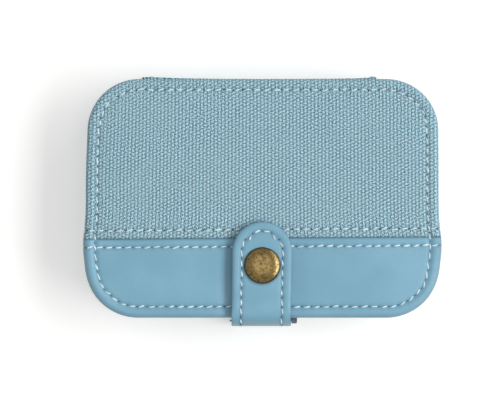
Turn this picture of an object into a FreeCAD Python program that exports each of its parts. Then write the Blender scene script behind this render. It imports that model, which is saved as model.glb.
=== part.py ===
"""Zip-around case for knitting needles: two padded covers, a zip, a snap strap and the fittings inside.

Frame: X along the case, Y towards the hinge, Z up, millimetres. The case lies on its back cover, and the
origin is under the middle of its box. Both halves are drawn alike, from their outer face (z = 0) to the
plane where they part (z = half_height); the lid is the same half turned over.
"""
import FreeCAD
import Part
import math
import os
import re
import Sketcher

SIZES = {
    # Case outline and the layers of a cover, from the outside in
    "case_width": 148.0,
    "case_depth": 101.0,
    "corner_radius": 21.5,
    "half_height": 17.0,
    "edge_round": 2.4,
    "band_depth": 33.7,
    "skin_thickness": 2.0,
    "foam_thickness": 2.0,
    "board_thickness": 1.2,
    "lining_thickness": 0.8,
    "layer_gap": 0.1,
    # Walls between the covers and the zip
    "gusset_inset": 0.5,
    "gusset_thickness": 1.2,
    "gusset_height": 6.0,
    "tape_thickness": 0.8,
    "tape_seam": 3.0,
    "tape_rise": 3.4,
    "tooth_thickness": 2.2,
    "tooth_width": 1.2,
    "tooth_pitch": 3.0,
    "tooth_grip": 1.2,
    "tooth_overlap": 0.6,
    "tooth_gap": 0.05,
    "parted_length": 5.0,
    # Hinge strip
    "spine_width": 100.6,
    "spine_thickness": 1.5,
    "spine_bulge": 0.6,
    "spine_start": 0.4,
    "hem_width": 3.6,
    "hem_thickness": 0.8,
    "zip_end_gap": 1.0,
    # Strap
    "strap_width": 25.0,
    "strap_layer": 1.2,
    "strap_gap": 3.0,
    "strap_lift": 2.6,
    "strap_reach": 40.7,
    "flap_start": 2.5,
    "bend_gap": 0.4,
    "tail_length": 30.0,
    "recess_gap": 0.05,
    # Snap
    "snap_setback": 22.1,
    "cap_radius": 7.5,
    "cap_rim": 0.9,
    "cap_height": 1.9,
    "cap_groove_radius": 7.0,
    "cap_groove_width": 0.5,
    "cap_groove_depth": 0.2,
    "cap_post_radius": 2.2,
    "socket_radius": 6.0,
    "socket_height": 1.7,
    "socket_plate": 0.4,
    "socket_bore": 2.5,
    "socket_hole": 1.5,
    "stud_radius": 5.5,
    "stud_plate": 0.6,
    "stud_neck": 1.7,
    "stud_head": 2.1,
    "stud_head_height": 0.6,
    "stud_gap": 0.2,
    "rivet_radius": 1.6,
    "rivet_plate_radius": 4.5,
    "rivet_plate": 0.6,
    "rivet_gap": 0.1,
    # Zip sliders and pulls
    "slider_length": 13.5,
    "slider_nose": 1.5,
    "slider_half_nose": 4.5,
    "slider_half_tail": 3.9,
    "slider_plate": 1.1,
    "slider_gap": 0.25,
    "slider_tape_gap": 0.2,
    "slider_round": 1.2,
    "divider_radius": 1.2,
    "divider_setback": 2.0,
    "lug_length": 2.4,
    "lug_height": 2.9,
    "lug_start": 2.5,
    "lug_slope": 0.4,
    "bridge_height": 2.25,
    "bridge_bar": 0.65,
    "bridge_length": 6.4,
    "bar_cut": 1.0,
    "bridge_radius": 1.0,
    "pull_setback": 9.3,
    "pull_thickness": 1.2,
    "pull_gap": 0.2,
    "pull_length": 11.0,
    "pull_half_width": 2.3,
    "pull_eye_gap": 0.3,
    "grip_half_width": 0.9,
    "grip_start": 4.6,
    # Needle loops in the base
    "loop_count": 8,
    "loop_pitch": 11.2,
    "loop_radius": 4.2,
    "loop_leg": 2.2,
    "loop_elastic": 0.8,
    "band_width": 18.0,
    "band_spacing": 72.0,
    # Slip pocket in the lid
    "pocket_width": 54.0,
    "pocket_rise": 5.5,
    "pocket_cloth": 0.8,
    "pocket_foot": 2.0,
    "pocket_depth": 62.0,
    "pocket_back": 4.0,
    "binding_width": 4.0,
    "binding_thickness": 1.4,
}

# Derived places, written with the sizes above
PANEL = "(skin_thickness + foam_thickness + board_thickness + lining_thickness)"
BOARD_START = "(skin_thickness + foam_thickness)"
LINING_START = "(skin_thickness + foam_thickness + board_thickness)"
LAYER_INSET = "(skin_thickness + layer_gap)"
GUSSET_TOP = f"({PANEL} + gusset_height)"
TAPE_INSET = "(gusset_inset + gusset_thickness)"
LINING_INSET = f"({TAPE_INSET} + tape_thickness)"
TAPE_EDGE = f"({GUSSET_TOP} + tape_rise)"
BACK = "(case_depth / 2)"
SEAM = "(band_depth - case_depth / 2)"
SNAP_Y = "(snap_setback - case_depth / 2)"
CASE_TOP = "(2 * half_height)"
STRAP_THICKNESS = "(2 * strap_layer)"
BEND_OUTER = f"(strap_gap + {STRAP_THICKNESS})"
BEND_MIDDLE = "(strap_gap + strap_layer)"
FLAP_LOW = f"({CASE_TOP} + strap_lift)"
FLAP_TOP = f"({FLAP_LOW} + {STRAP_THICKNESS})"
BEND_CENTRE = f"({FLAP_LOW} - strap_gap)"
SPINE_REACH = "(spine_thickness + spine_bulge - gusset_inset)"
HEM_REACH = f"({SPINE_REACH} + hem_thickness)"
CENTRING = f"(({BEND_OUTER} - {HEM_REACH}) / 2)"
SLIDER_OUT = f"({TAPE_INSET} + tape_thickness / 2 - tooth_thickness / 2 - slider_gap - slider_plate)"
SLIDER_IN = f"({TAPE_INSET} + tape_thickness / 2 + tooth_thickness / 2 + slider_gap + slider_plate)"
CHANNEL_HALF = f"(half_height - {TAPE_EDGE} + tooth_grip + slider_gap)"

doc = FreeCAD.newDocument("needle_case")
sheet = doc.addObject("Spreadsheet::Sheet", "Sizes")
subparts = []


def fill_sheet():
    """Put every driving dimension in a cell of its own, under its name."""
    for row, (alias, size) in enumerate(SIZES.items(), start=1):
        sheet.set(f"A{row}", alias)
        sheet.set(f"B{row}", str(size))
        sheet.setAlias(f"B{row}", alias)
    doc.recompute()


def formula(text):
    """The same formula with each size's name pointing at its cell."""
    return re.sub(r"[a-z_]+", lambda word: f"Sizes.{word[0]}" if word[0] in SIZES else word[0], str(text))


def value(text):
    """What a formula comes to now."""
    return float(sheet.evalExpression(formula(text)))


def bind(feature, name, text):
    """Tie a property to a formula on the sheet."""
    feature.setExpression(name, formula(text))


def new_body(label):
    """An empty body, kept in the list of sub-parts under its label."""
    body = doc.addObject("PartDesign::Body", label)
    body.Label = label
    subparts.append(body)
    return body


def place(feature, x="0", y="0", z="0", turned=False):
    """Put a sub-part in the case, turned over about Y where it belongs to the lid."""
    angle = 180 if turned else 0
    feature.Placement = FreeCAD.Placement(FreeCAD.Vector(), FreeCAD.Rotation(FreeCAD.Vector(0, 1, 0), angle))
    bind(feature, "Placement.Base.x", x)
    bind(feature, "Placement.Base.y", f"{y} + {CENTRING}")
    bind(feature, "Placement.Base.z", z)


def place_half(feature, side):
    """Put a piece of one half where that half lies."""
    if side == "lid":
        place(feature, z=CASE_TOP, turned=True)
    else:
        place(feature)


def new_sketch(body, name, plane="XY_Plane", height="0"):
    """A sketch on one of the body's own planes, lifted along its normal."""
    sketch = body.newObject("Sketcher::SketchObject", f"{body.Label}_{name}")
    origin_plane = next(item for item in body.Origin.OriginFeatures if item.Role == plane)
    sketch.AttachmentSupport = [(origin_plane, "")]
    sketch.MapMode = "FlatFace"
    bind(sketch, "AttachmentOffset.Base.z", height)
    return sketch


def fix(sketch, geometry, point, along, distance):
    """Tie one coordinate of a sketch point to a formula."""
    axis = -2 if along == "DistanceX" else -1
    size = value(distance)
    if abs(size) < 1e-9:
        sketch.addConstraint(Sketcher.Constraint("PointOnObject", geometry, point, axis))
    elif size > 0:
        index = sketch.addConstraint(Sketcher.Constraint(along, -1, 1, geometry, point, size))
        bind(sketch, f"Constraints[{index}]", distance)
    else:
        index = sketch.addConstraint(Sketcher.Constraint(along, geometry, point, -1, 1, -size))
        bind(sketch, f"Constraints[{index}]", f"-({distance})")


def draw(sketch, corners):
    """Draw a closed outline through its corners.

    A corner is (x, y). With a third entry (centre x, centre y, turn), the edge that leaves it is an arc
    about that centre, anticlockwise for turn 1 and clockwise for turn -1.
    """
    points = [FreeCAD.Vector(value(corner[0]), value(corner[1]), 0) for corner in corners]
    edges = []
    for number, corner in enumerate(corners):
        start, end = points[number], points[(number + 1) % len(points)]
        if len(corner) == 2:
            edges.append((sketch.addGeometry(Part.LineSegment(start, end), False), 1, 2))
            continue
        centre_x, centre_y, turn = corner[2]
        centre = FreeCAD.Vector(value(centre_x), value(centre_y), 0)
        first, last = (start, end) if turn > 0 else (end, start)
        angles = [math.atan2(place_.y - centre.y, place_.x - centre.x) for place_ in (first, last)]
        if angles[1] <= angles[0]:
            angles[1] += 2 * math.pi
        circle = Part.Circle(centre, FreeCAD.Vector(0, 0, 1), (first - centre).Length)
        arc = sketch.addGeometry(Part.ArcOfCircle(circle, *angles), False)
        edges.append((arc, 1, 2) if turn > 0 else (arc, 2, 1))
    for number, (edge, begin, finish) in enumerate(edges):
        following = edges[(number + 1) % len(edges)]
        sketch.addConstraint(Sketcher.Constraint("Coincident", edge, finish, following[0], following[1]))
        fix(sketch, edge, begin, "DistanceX", corners[number][0])
        fix(sketch, edge, begin, "DistanceY", corners[number][1])
    for number, corner in enumerate(corners):
        if len(corner) == 3:
            chord = points[(number + 1) % len(points)] - points[number]
            along = "DistanceX" if abs(chord.y) > abs(chord.x) else "DistanceY"
            fix(sketch, edges[number][0], 3, along, corner[2][0] if along == "DistanceX" else corner[2][1])


def draw_circle(sketch, radius, x="0", y="0"):
    """Draw a circle of a bound radius about a bound centre."""
    centre = FreeCAD.Vector(value(x), value(y), 0)
    circle = sketch.addGeometry(Part.Circle(centre, FreeCAD.Vector(0, 0, 1), value(radius)), False)
    fix(sketch, circle, 3, "DistanceX", x)
    fix(sketch, circle, 3, "DistanceY", y)
    index = sketch.addConstraint(Sketcher.Constraint("Radius", circle, value(radius)))
    bind(sketch, f"Constraints[{index}]", radius)


def case_outline(inset):
    """Corners of the rounded rectangle that lies an inset inside the edge of the covers."""
    straight_x, straight_y = "(case_width / 2 - corner_radius)", "(case_depth / 2 - corner_radius)"
    half_x, half_y = f"(case_width / 2 - {inset})", f"(case_depth / 2 - {inset})"
    return [
        (f"-{straight_x}", f"-{half_y}"),
        (straight_x, f"-{half_y}", (straight_x, f"-{straight_y}", 1)),
        (half_x, f"-{straight_y}"),
        (half_x, straight_y, (straight_x, straight_y, 1)),
        (straight_x, half_y),
        (f"-{straight_x}", half_y, (f"-{straight_x}", straight_y, 1)),
        (f"-{half_x}", straight_y),
        (f"-{half_x}", f"-{straight_y}", (f"-{straight_x}", f"-{straight_y}", 1)),
    ]


def rectangle(left, right, low, high):
    """Corners of a plain rectangle."""
    return [(left, low), (right, low), (right, high), (left, high)]


def slot_outline(half_width, top, bottom):
    """Corners of an upright slot with round ends, centred on x = 0."""
    return [
        (f"-{half_width}", bottom, ("0", bottom, 1)),
        (half_width, bottom),
        (half_width, top, ("0", top, 1)),
        (f"-{half_width}", top),
    ]


def pad(body, sketch, length, symmetric=False, reverse=False):
    """Raise a sketch into a solid."""
    feature = body.newObject("PartDesign::Pad", f"{sketch.Name}_pad")
    feature.Profile = sketch
    feature.Midplane = symmetric
    feature.Reversed = reverse
    bind(feature, "Length", length)
    doc.recompute()
    return feature


def pocket(body, sketch, depth, symmetric=False, reverse=False):
    """Cut a sketch out of the solid, and make sure that it took something away."""
    before = body.Shape.Volume
    feature = body.newObject("PartDesign::Pocket", f"{sketch.Name}_pocket")
    feature.Profile = sketch
    feature.Midplane = symmetric
    feature.Reversed = reverse
    bind(feature, "Length", depth)
    doc.recompute()
    if not body.Shape.Volume < before:
        raise RuntimeError(f"{feature.Name} cuts nothing")
    return feature


def revolve(body, sketch):
    """Turn a profile about the body's Z axis."""
    feature = body.newObject("PartDesign::Revolution", f"{sketch.Name}_turn")
    feature.Profile = sketch
    feature.ReferenceAxis = (sketch, ["V_Axis"])
    feature.Angle = 360
    doc.recompute()
    return feature


def cut_box(body, name, low, high):
    """Cut away a block that is given by its two corners."""
    block = body.newObject("PartDesign::SubtractiveBox", f"{body.Label}_{name}")
    for side, axis, start, end in zip(("Length", "Width", "Height"), "xyz", low, high):
        bind(block, side, f"{end} - ({start})")
        bind(block, f"Placement.Base.{axis}", start)
    doc.recompute()


def pattern(body, feature, sketch, axis, count, spacing):
    """Repeat a feature in a row."""
    row = body.newObject("PartDesign::LinearPattern", f"{body.Label}_row")
    row.Originals = [feature]
    row.Direction = (sketch, [axis])
    row.Mode = "Spacing"
    bind(row, "Offset", spacing)
    bind(row, "Occurrences", count)
    body.Tip = row
    doc.recompute()


def plate(label, side, inset, start, thickness):
    """A flat layer with the outline of the case."""
    body = new_body(label)
    sketch = new_sketch(body, "outline", height=start)
    draw(sketch, case_outline(inset))
    pad(body, sketch, thickness)
    place_half(body, side)
    return body


def ring(body, name, outer, thickness, start, height):
    """A wall that runs round the case."""
    sketch = new_sketch(body, name, height=start)
    draw(sketch, case_outline(outer))
    draw(sketch, case_outline(f"({outer} + {thickness})"))
    pad(body, sketch, height)


def snap_hole(body, radius, start, depth):
    """A round hole on the snap's axis, seen from a half's outer face."""
    sketch = new_sketch(body, f"hole_{len(body.Group)}", height=start)
    draw_circle(sketch, radius, y=SNAP_Y)
    pocket(body, sketch, depth, reverse=True)


def cover_skin(label, side):
    """A whole cover skin: a shallow tray with a rounded edge that the foam and board fill."""
    body = new_body(label)
    outline = new_sketch(body, "outline")
    draw(outline, case_outline("0"))
    blank = pad(body, outline, PANEL)
    edge = body.newObject("PartDesign::Fillet", f"{label}_edge")
    edge.Base = (blank, [f"Edge{number}" for number, item in enumerate(blank.Shape.Edges, start=1)
                         if max(vertex.Z for vertex in item.Vertexes) < value("layer_gap")])
    bind(edge, "Radius", "edge_round")
    doc.recompute()
    hollow = new_sketch(body, "hollow", height="skin_thickness")
    draw(hollow, case_outline("skin_thickness"))
    pocket(body, hollow, PANEL, reverse=True)
    place_half(body, side)
    return body


def canvas_panel(side):
    """The canvas part of a cover skin, from the seam to the hinge."""
    body = cover_skin(f"{side}_canvas_panel", side)
    cut_box(body, "seam_cut", ("-case_width", "-case_depth", "-half_height"),
            ("case_width", SEAM, "half_height"))


def leather_band(side):
    """The leather part of a cover skin, along the front edge, fitted for the snap or the strap's tail."""
    body = cover_skin(f"{side}_leather_band", side)
    cut_box(body, "seam_cut", ("-case_width", SEAM, "-half_height"),
            ("case_width", "case_depth", "half_height"))
    if side == "lid":
        snap_hole(body, "(rivet_radius + rivet_gap)", "0", "skin_thickness")
    else:
        half = "(strap_width / 2 + recess_gap)"
        cut_box(body, "tail_recess", (f"-{half}", "-case_depth", "-half_height"),
                (half, "(tail_length + recess_gap - case_depth / 2)", "(strap_layer + recess_gap)"))


def foam_pad(side):
    """The padding under a cover skin."""
    body = plate(f"{side}_foam_pad", side, LAYER_INSET, "skin_thickness", "foam_thickness")
    if side == "lid":
        snap_hole(body, "(rivet_radius + rivet_gap)", "skin_thickness", "foam_thickness")


def stiffener_board(side):
    """The board that keeps a cover flat."""
    body = plate(f"{side}_stiffener_board", side, LAYER_INSET, BOARD_START, "board_thickness")
    if side == "lid":
        snap_hole(body, "(rivet_radius + rivet_gap)", BOARD_START, "board_thickness")
        snap_hole(body, "(rivet_plate_radius + rivet_gap)", f"({LINING_START} - rivet_plate)", "rivet_plate")


def lining(side):
    """The lining of a half: a floor over the board and a wall behind the zip tape."""
    body = plate(f"{side}_lining", side, LAYER_INSET, LINING_START, "lining_thickness")
    ring(body, "wall", LINING_INSET, "lining_thickness", PANEL, "gusset_height")


def gusset(side):
    """The wall between a cover and the zip."""
    body = new_body(f"{side}_gusset")
    ring(body, "wall", "gusset_inset", "gusset_thickness", PANEL, "gusset_height")
    place_half(body, side)


def zip_tape(side):
    """The zip tape of a half, sewn behind the gusset and left out at the hinge."""
    body = new_body(f"{side}_zip_tape")
    start = f"({GUSSET_TOP} - tape_seam)"
    ring(body, "tape", TAPE_INSET, "tape_thickness", start, "(tape_seam + tape_rise)")
    half = "(spine_width / 2 + zip_end_gap)"
    cut_box(body, "hinge_cut", (f"-{half}", "0", "0"), (half, "case_depth", "case_depth"))
    place_half(body, side)


def zip_station(distance):
    """Place and heading of a tooth on the zip's right-hand run, measured from the middle of the front."""
    inset = value(f"{TAPE_INSET} + tape_thickness / 2")
    radius = value("corner_radius") - inset
    straight_x = value("case_width / 2 - corner_radius")
    straight_y = value("case_depth / 2 - corner_radius")
    quarter = radius * math.pi / 2
    if distance < straight_x:
        return distance, -straight_y - radius, 0
    distance -= straight_x
    if distance < quarter:
        turn = distance / radius
        return straight_x + radius * math.sin(turn), -straight_y - radius * math.cos(turn), turn
    distance -= quarter
    if distance < 2 * straight_y:
        return straight_x + radius, distance - straight_y, math.pi / 2
    distance -= 2 * straight_y
    if distance < quarter:
        turn = distance / radius
        return straight_x + radius * math.cos(turn), straight_y + radius * math.sin(turn), math.pi / 2 + turn
    return straight_x - (distance - quarter), straight_y + radius, math.pi


def zip_run():
    """Length of the zip from the middle of the front to where it stops beside the hinge."""
    inset = value(f"{TAPE_INSET} + tape_thickness / 2")
    straight = value("2 * (case_width / 2 - corner_radius) + 2 * (case_depth / 2 - corner_radius)")
    corners = math.pi * (value("corner_radius") - inset)
    return straight + corners - value("spine_width / 2 + zip_end_gap + tooth_width")


def tooth():
    """One moulded tooth at the middle of the front: two prongs that straddle the tape, and a head."""
    half = value("tooth_thickness / 2")
    slot = value("tape_thickness / 2 + tooth_gap")
    root, edge = value(f"{TAPE_EDGE} - tooth_grip"), value(TAPE_EDGE)
    head = value("half_height + tooth_overlap")
    profile = [(-half, root), (-slot, root), (-slot, edge), (slot, edge), (slot, root), (half, root),
               (half, head), (-half, head)]
    width = value("tooth_width")
    points = [FreeCAD.Vector(-width / 2, across, height) for across, height in profile]
    face = Part.Face(Part.makePolygon(points + points[:1]))
    return face.extrude(FreeCAD.Vector(width, 0, 0))


def zip_teeth(side):
    """The row of teeth on one tape. The lid's teeth stand half a pitch off, so the two rows interlock."""
    pitch = value("tooth_pitch")
    first = pitch / 2 if side == "lid" else 0
    count = int((zip_run() - first) / pitch)
    model = tooth()
    teeth = []
    for number in range(count + 1):
        distance = first + number * pitch
        if distance - value("tooth_width / 2") < value("parted_length"):
            continue
        x, y, turn = zip_station(distance)
        for mirror in (1, -1):
            spin = FreeCAD.Rotation(FreeCAD.Vector(0, 0, 1), math.degrees(mirror * turn))
            teeth.append(model.copy())
            teeth[-1].Placement = FreeCAD.Placement(FreeCAD.Vector(mirror * x, y, 0), spin)
    row = doc.addObject("Part::Feature", f"{side}_zip_teeth")
    row.Label = f"{side}_zip_teeth"
    row.Shape = Part.makeCompound(teeth)
    subparts.append(row)
    place_half(row, side)


def spine_leaf(side):
    """Half of the hinge strip: cloth on the gusset, bowed out at the parting plane, hemmed at its ends."""
    body = new_body(f"{side}_spine_leaf")
    start = f"({PANEL} + spine_start)"
    inner, outer = f"({BACK} - gusset_inset)", f"({BACK} - gusset_inset + spine_thickness)"
    profile = new_sketch(body, "profile", "YZ_Plane")
    draw(profile, leaf_profile(inner, outer, start))
    pad(body, profile, "spine_width", symmetric=True)
    for end in (-1, 1):
        middle = f"({end} * (spine_width - hem_width) / 2)"
        hem = new_sketch(body, f"hem_{end + 1}", "YZ_Plane", middle)
        draw(hem, leaf_profile(inner, f"({outer} + hem_thickness)", start))
        pad(body, hem, "hem_width", symmetric=True)
    place_half(body, side)


def leaf_profile(inner, outer, start):
    """Section of a hinge leaf in Y and Z, with an outer face that bows out to the parting plane."""
    rise = f"(half_height - {start})"
    bow = f"(({rise} ^ 2 + spine_bulge ^ 2) / (2 * spine_bulge))"
    return [
        (inner, start),
        (outer, start, (f"({outer} + spine_bulge - {bow})", "half_height", 1)),
        (f"({outer} + spine_bulge)", "half_height"),
        (f"({inner} + spine_bulge)", "half_height"),
        (inner, GUSSET_TOP),
    ]


def bend_profile(inner, outer, low):
    """Section of a strap layer that stands in front of the case and bends over its edge."""
    edge = f"-{BACK}"
    end = f"(flap_start - bend_gap - {BACK})"
    return [
        (f"({edge} - {outer})", low),
        (f"({edge} - {inner})", low),
        (f"({edge} - {inner})", BEND_CENTRE, (edge, BEND_CENTRE, -1)),
        (edge, f"({BEND_CENTRE} + {inner})"),
        (end, f"({BEND_CENTRE} + {inner})"),
        (end, f"({BEND_CENTRE} + {outer})"),
        (edge, f"({BEND_CENTRE} + {outer})", (edge, BEND_CENTRE, 1)),
        (f"({edge} - {outer})", BEND_CENTRE),
    ]


def strap_riser(label, inner, outer):
    """One layer of the strap in front of the case, with its bend over the front edge."""
    body = new_body(label)
    profile = new_sketch(body, "profile", "YZ_Plane")
    draw(profile, bend_profile(inner, outer, f"({BEND_OUTER} + bend_gap)"))
    pad(body, profile, "strap_width", symmetric=True)
    place(body)


def strap_tail():
    """The strap's outer layer under the case: its lower bend and the tail sewn into the back cover."""
    body = new_body("strap_tail")
    edge = f"-{BACK}"
    end = f"(tail_length - {BACK})"
    profile = new_sketch(body, "profile", "YZ_Plane")
    draw(profile, [
        (f"({edge} - {BEND_OUTER})", BEND_OUTER, (edge, BEND_OUTER, 1)),
        (edge, "0"),
        (end, "0"),
        (end, "strap_layer"),
        (edge, "strap_layer", (edge, BEND_OUTER, -1)),
        (f"({edge} - {BEND_MIDDLE})", BEND_OUTER),
    ])
    pad(body, profile, "strap_width", symmetric=True)
    place(body)


def strap_flap(label, low):
    """One layer of the flap over the front cover, with its round tip and the hole for the snap."""
    body = new_body(label)
    half = "(strap_width / 2)"
    start, tip = f"(flap_start - {BACK})", f"(strap_reach - strap_width / 2 - {BACK})"
    outline = new_sketch(body, "outline", height=low)
    draw(outline, [
        (f"-{half}", start),
        (half, start),
        (half, tip, ("0", tip, 1)),
        (f"-{half}", tip),
    ])
    draw_circle(outline, "(cap_post_radius + rivet_gap)", y=SNAP_Y)
    pad(body, outline, "strap_layer")
    place(body)


def turned_piece(label, corners, low, turned=False):
    """A round piece of the snap, from its profile in radius and height."""
    body = new_body(label)
    profile = new_sketch(body, "profile", "XZ_Plane")
    draw(profile, corners)
    revolve(body, profile)
    place(body, y=SNAP_Y, z=low, turned=turned)


def snap_cap():
    """The brass cap: a flat dome with a fine groove inside its rim, on the post that holds the flap."""
    dome = "((cap_radius ^ 2 + (cap_height - cap_rim) ^ 2) / (2 * (cap_height - cap_rim)))"
    centre = f"(cap_height - {dome})"
    inside, outside = "(cap_groove_radius - cap_groove_width)", "cap_groove_radius"
    crest = [f"({centre} + sqrt({dome} ^ 2 - {radius} ^ 2))" for radius in (inside, outside)]
    turned_piece("snap_cap", [
        ("0", f"-{STRAP_THICKNESS}"),
        ("cap_post_radius", f"-{STRAP_THICKNESS}"),
        ("cap_post_radius", "0"),
        ("cap_radius", "0"),
        ("cap_radius", "cap_rim", ("0", centre, 1)),
        (outside, crest[1]),
        (outside, f"({crest[1]} - cap_groove_depth)"),
        (inside, f"({crest[1]} - cap_groove_depth)"),
        (inside, crest[0], ("0", centre, 1)),
        ("0", "cap_height"),
    ], FLAP_TOP)


def snap_socket():
    """The socket under the flap: a ring with a thin top plate against the post."""
    turned_piece("snap_socket", [
        ("socket_hole", "-socket_plate"),
        ("socket_bore", "-socket_plate"),
        ("socket_bore", "-socket_height"),
        ("socket_radius", "-socket_height"),
        ("socket_radius", "0"),
        ("socket_hole", "0"),
    ], FLAP_LOW)


def snap_stud():
    """The stud on the front cover, with the head that the socket snaps over."""
    head = "(strap_lift - socket_plate - stud_gap)"
    turned_piece("snap_stud", [
        ("0", "0"),
        ("stud_radius", "0"),
        ("stud_radius", "stud_plate"),
        ("stud_neck", "stud_plate"),
        ("stud_neck", f"({head} - stud_head_height)"),
        ("stud_head", f"({head} - stud_head_height)"),
        ("stud_head", head),
        ("0", head),
    ], CASE_TOP)


def snap_rivet_plate():
    """The rivet that holds the stud through the cover, with its plate let into the board."""
    turned_piece("snap_rivet_plate", [
        ("0", "0"),
        ("rivet_radius", "0"),
        ("rivet_radius", f"({LINING_START} - rivet_plate)"),
        ("rivet_plate_radius", f"({LINING_START} - rivet_plate)"),
        ("rivet_plate_radius", LINING_START),
        ("0", LINING_START),
    ], CASE_TOP, turned=True)


def zip_slider(label, hand):
    """A zip slider: a flared body with a channel, a divider post and a bridge. The right one has a lug."""
    body = new_body(label)
    plan = new_sketch(body, "plan", "XZ_Plane", f"-{SLIDER_OUT}")
    draw(plan, [
        ("0", "-slider_half_nose"),
        ("slider_length", "-slider_half_tail"),
        ("slider_length", "slider_half_tail"),
        ("0", "slider_half_nose"),
    ])
    blank = pad(body, plan, f"({SLIDER_IN} - {SLIDER_OUT})", reverse=True)
    rounding = body.newObject("PartDesign::Fillet", f"{label}_corners")
    rounding.Base = (blank, [f"Edge{number}" for number, edge in enumerate(blank.Shape.Edges, start=1)
                             if edge.Vertexes[0].Y != edge.Vertexes[1].Y])
    bind(rounding, "Radius", "slider_round")
    doc.recompute()
    beyond = "(2 * slider_length)"
    cut_box(body, "tooth_channel",
            (f"-{beyond}", f"({SLIDER_OUT} + slider_plate)", f"-{CHANNEL_HALF}"),
            (beyond, f"({SLIDER_IN} - slider_plate)", CHANNEL_HALF))
    cut_box(body, "tape_slot",
            (f"-{beyond}", f"({TAPE_INSET} - slider_tape_gap)", f"-{beyond}"),
            (beyond, f"({LINING_INSET} + slider_tape_gap)", beyond))
    divider = new_sketch(body, "divider", "XZ_Plane", f"-{SLIDER_OUT}")
    draw_circle(divider, "divider_radius", "divider_setback")
    pad(body, divider, f"({SLIDER_IN} - {SLIDER_OUT})", reverse=True)
    slider_bridge(body)
    if hand > 0:
        slider_lug(body)
    place(body, x=f"{hand} * slider_nose", y=f"-{BACK}", z="half_height", turned=hand < 0)


def slider_lug(body):
    """The lug on the upper corner of the plate, which shows beside the strap, clear of the pull's swing."""
    lug = new_sketch(body, "lug", "XY_Plane", "lug_start")
    inner, outer = "(slider_length - lug_length)", "slider_length"
    root, end = f"({SLIDER_OUT} + slider_plate / 2)", f"({SLIDER_OUT} - lug_height)"
    draw(lug, [
        (inner, root),
        (inner, end),
        (f"({outer} - lug_slope)", end),
        (outer, f"({end} + lug_slope)"),
        (outer, root),
    ])
    pad(body, lug, "(slider_half_tail - lug_start)")


def slider_bridge(body):
    """The bridge on the outer plate: a foot near the nose, a post for the pull, and a bar over both."""
    top = f"-({SLIDER_OUT} - bridge_height + bridge_bar)"
    post = new_sketch(body, "post", "XZ_Plane", f"-{SLIDER_OUT}")
    draw_circle(post, "bridge_radius", "pull_setback")
    pad(body, post, "bridge_height")
    bar = new_sketch(body, "bar", "XZ_Plane", top)
    foot = "(pull_setback - bridge_length)"
    draw(bar, rectangle(foot, "(slider_length - bar_cut)", "-bridge_radius", "bridge_radius"))
    pad(body, bar, "bridge_bar")
    front = new_sketch(body, "foot", "XZ_Plane", f"-{SLIDER_OUT}")
    draw(front, rectangle(foot, f"({foot} + bridge_radius)", "-bridge_radius", "bridge_radius"))
    pad(body, front, "bridge_height")


def zip_pull(label, hand):
    """A zip pull that hangs from the slider's bridge by its eye, with a long hole to grip."""
    body = new_body(label)
    plan = new_sketch(body, "plan", "XZ_Plane", f"-({SLIDER_OUT} - pull_gap)")
    draw(plan, slot_outline("pull_half_width", "0", "-pull_length"))
    draw_circle(plan, "(bridge_radius + pull_eye_gap)")
    draw(plan, slot_outline("grip_half_width", "-grip_start", "(grip_half_width - pull_length)"))
    pad(body, plan, "pull_thickness")
    place(body, x=f"{hand} * (slider_nose + pull_setback)", y=f"-{BACK}", z="half_height")


def needle_loops(label, hand):
    """An elastic band sewn down between its loops, which hold the needle tips along X."""
    body = new_body(label)
    middle = "(-(loop_count - 1) * loop_pitch / 2)"
    outer = "(loop_radius + loop_elastic)"
    seam_left, seam_right = f"({middle} - loop_pitch / 2)", f"({middle} + loop_pitch / 2)"
    top = f"({PANEL} + loop_leg)"
    foot = f"({PANEL} + loop_elastic)"
    profile = new_sketch(body, "profile", "YZ_Plane")
    draw(profile, [
        (seam_left, PANEL),
        (f"({middle} - loop_radius)", PANEL),
        (f"({middle} - loop_radius)", top, (middle, top, -1)),
        (f"({middle} + loop_radius)", top),
        (f"({middle} + loop_radius)", PANEL),
        (seam_right, PANEL),
        (seam_right, foot),
        (f"({middle} + {outer})", foot),
        (f"({middle} + {outer})", top, (middle, top, 1)),
        (f"({middle} - {outer})", top),
        (f"({middle} - {outer})", foot),
        (seam_left, foot),
    ])
    loop = pad(body, profile, "band_width", symmetric=True)
    pattern(body, loop, profile, "H_Axis", "loop_count", "loop_pitch")
    place(body, x=f"{hand} * band_spacing / 2")


def pocket_section(thickness, filled):
    """Section of one half of the slip pocket in X and Z: a low arch with a sewn foot on each side."""
    middle = "(-(pocket_width / 2 + pocket_foot))"
    half = "(pocket_width / 2)"
    bow = f"(({half} ^ 2 + pocket_rise ^ 2) / (2 * pocket_rise))"
    centre = f"({PANEL} + pocket_rise - {bow})"
    foot = f"({PANEL} + {thickness})"
    spread = f"sqrt(({bow} + {thickness}) ^ 2 - ({bow} - pocket_rise + {thickness}) ^ 2)"
    left, right = f"({middle} - {half} - pocket_foot)", f"({middle} + {half} + pocket_foot)"
    upper = [
        (right, PANEL),
        (right, foot),
        (f"({middle} + {spread})", foot, (middle, centre, 1)),
        (f"({middle} - {spread})", foot),
        (left, foot),
    ]
    if filled:
        return [(left, PANEL)] + upper
    arch = [
        (left, PANEL),
        (f"({middle} - {half})", PANEL, (middle, centre, -1)),
        (f"({middle} + {half})", PANEL),
    ]
    return arch + upper


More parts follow.
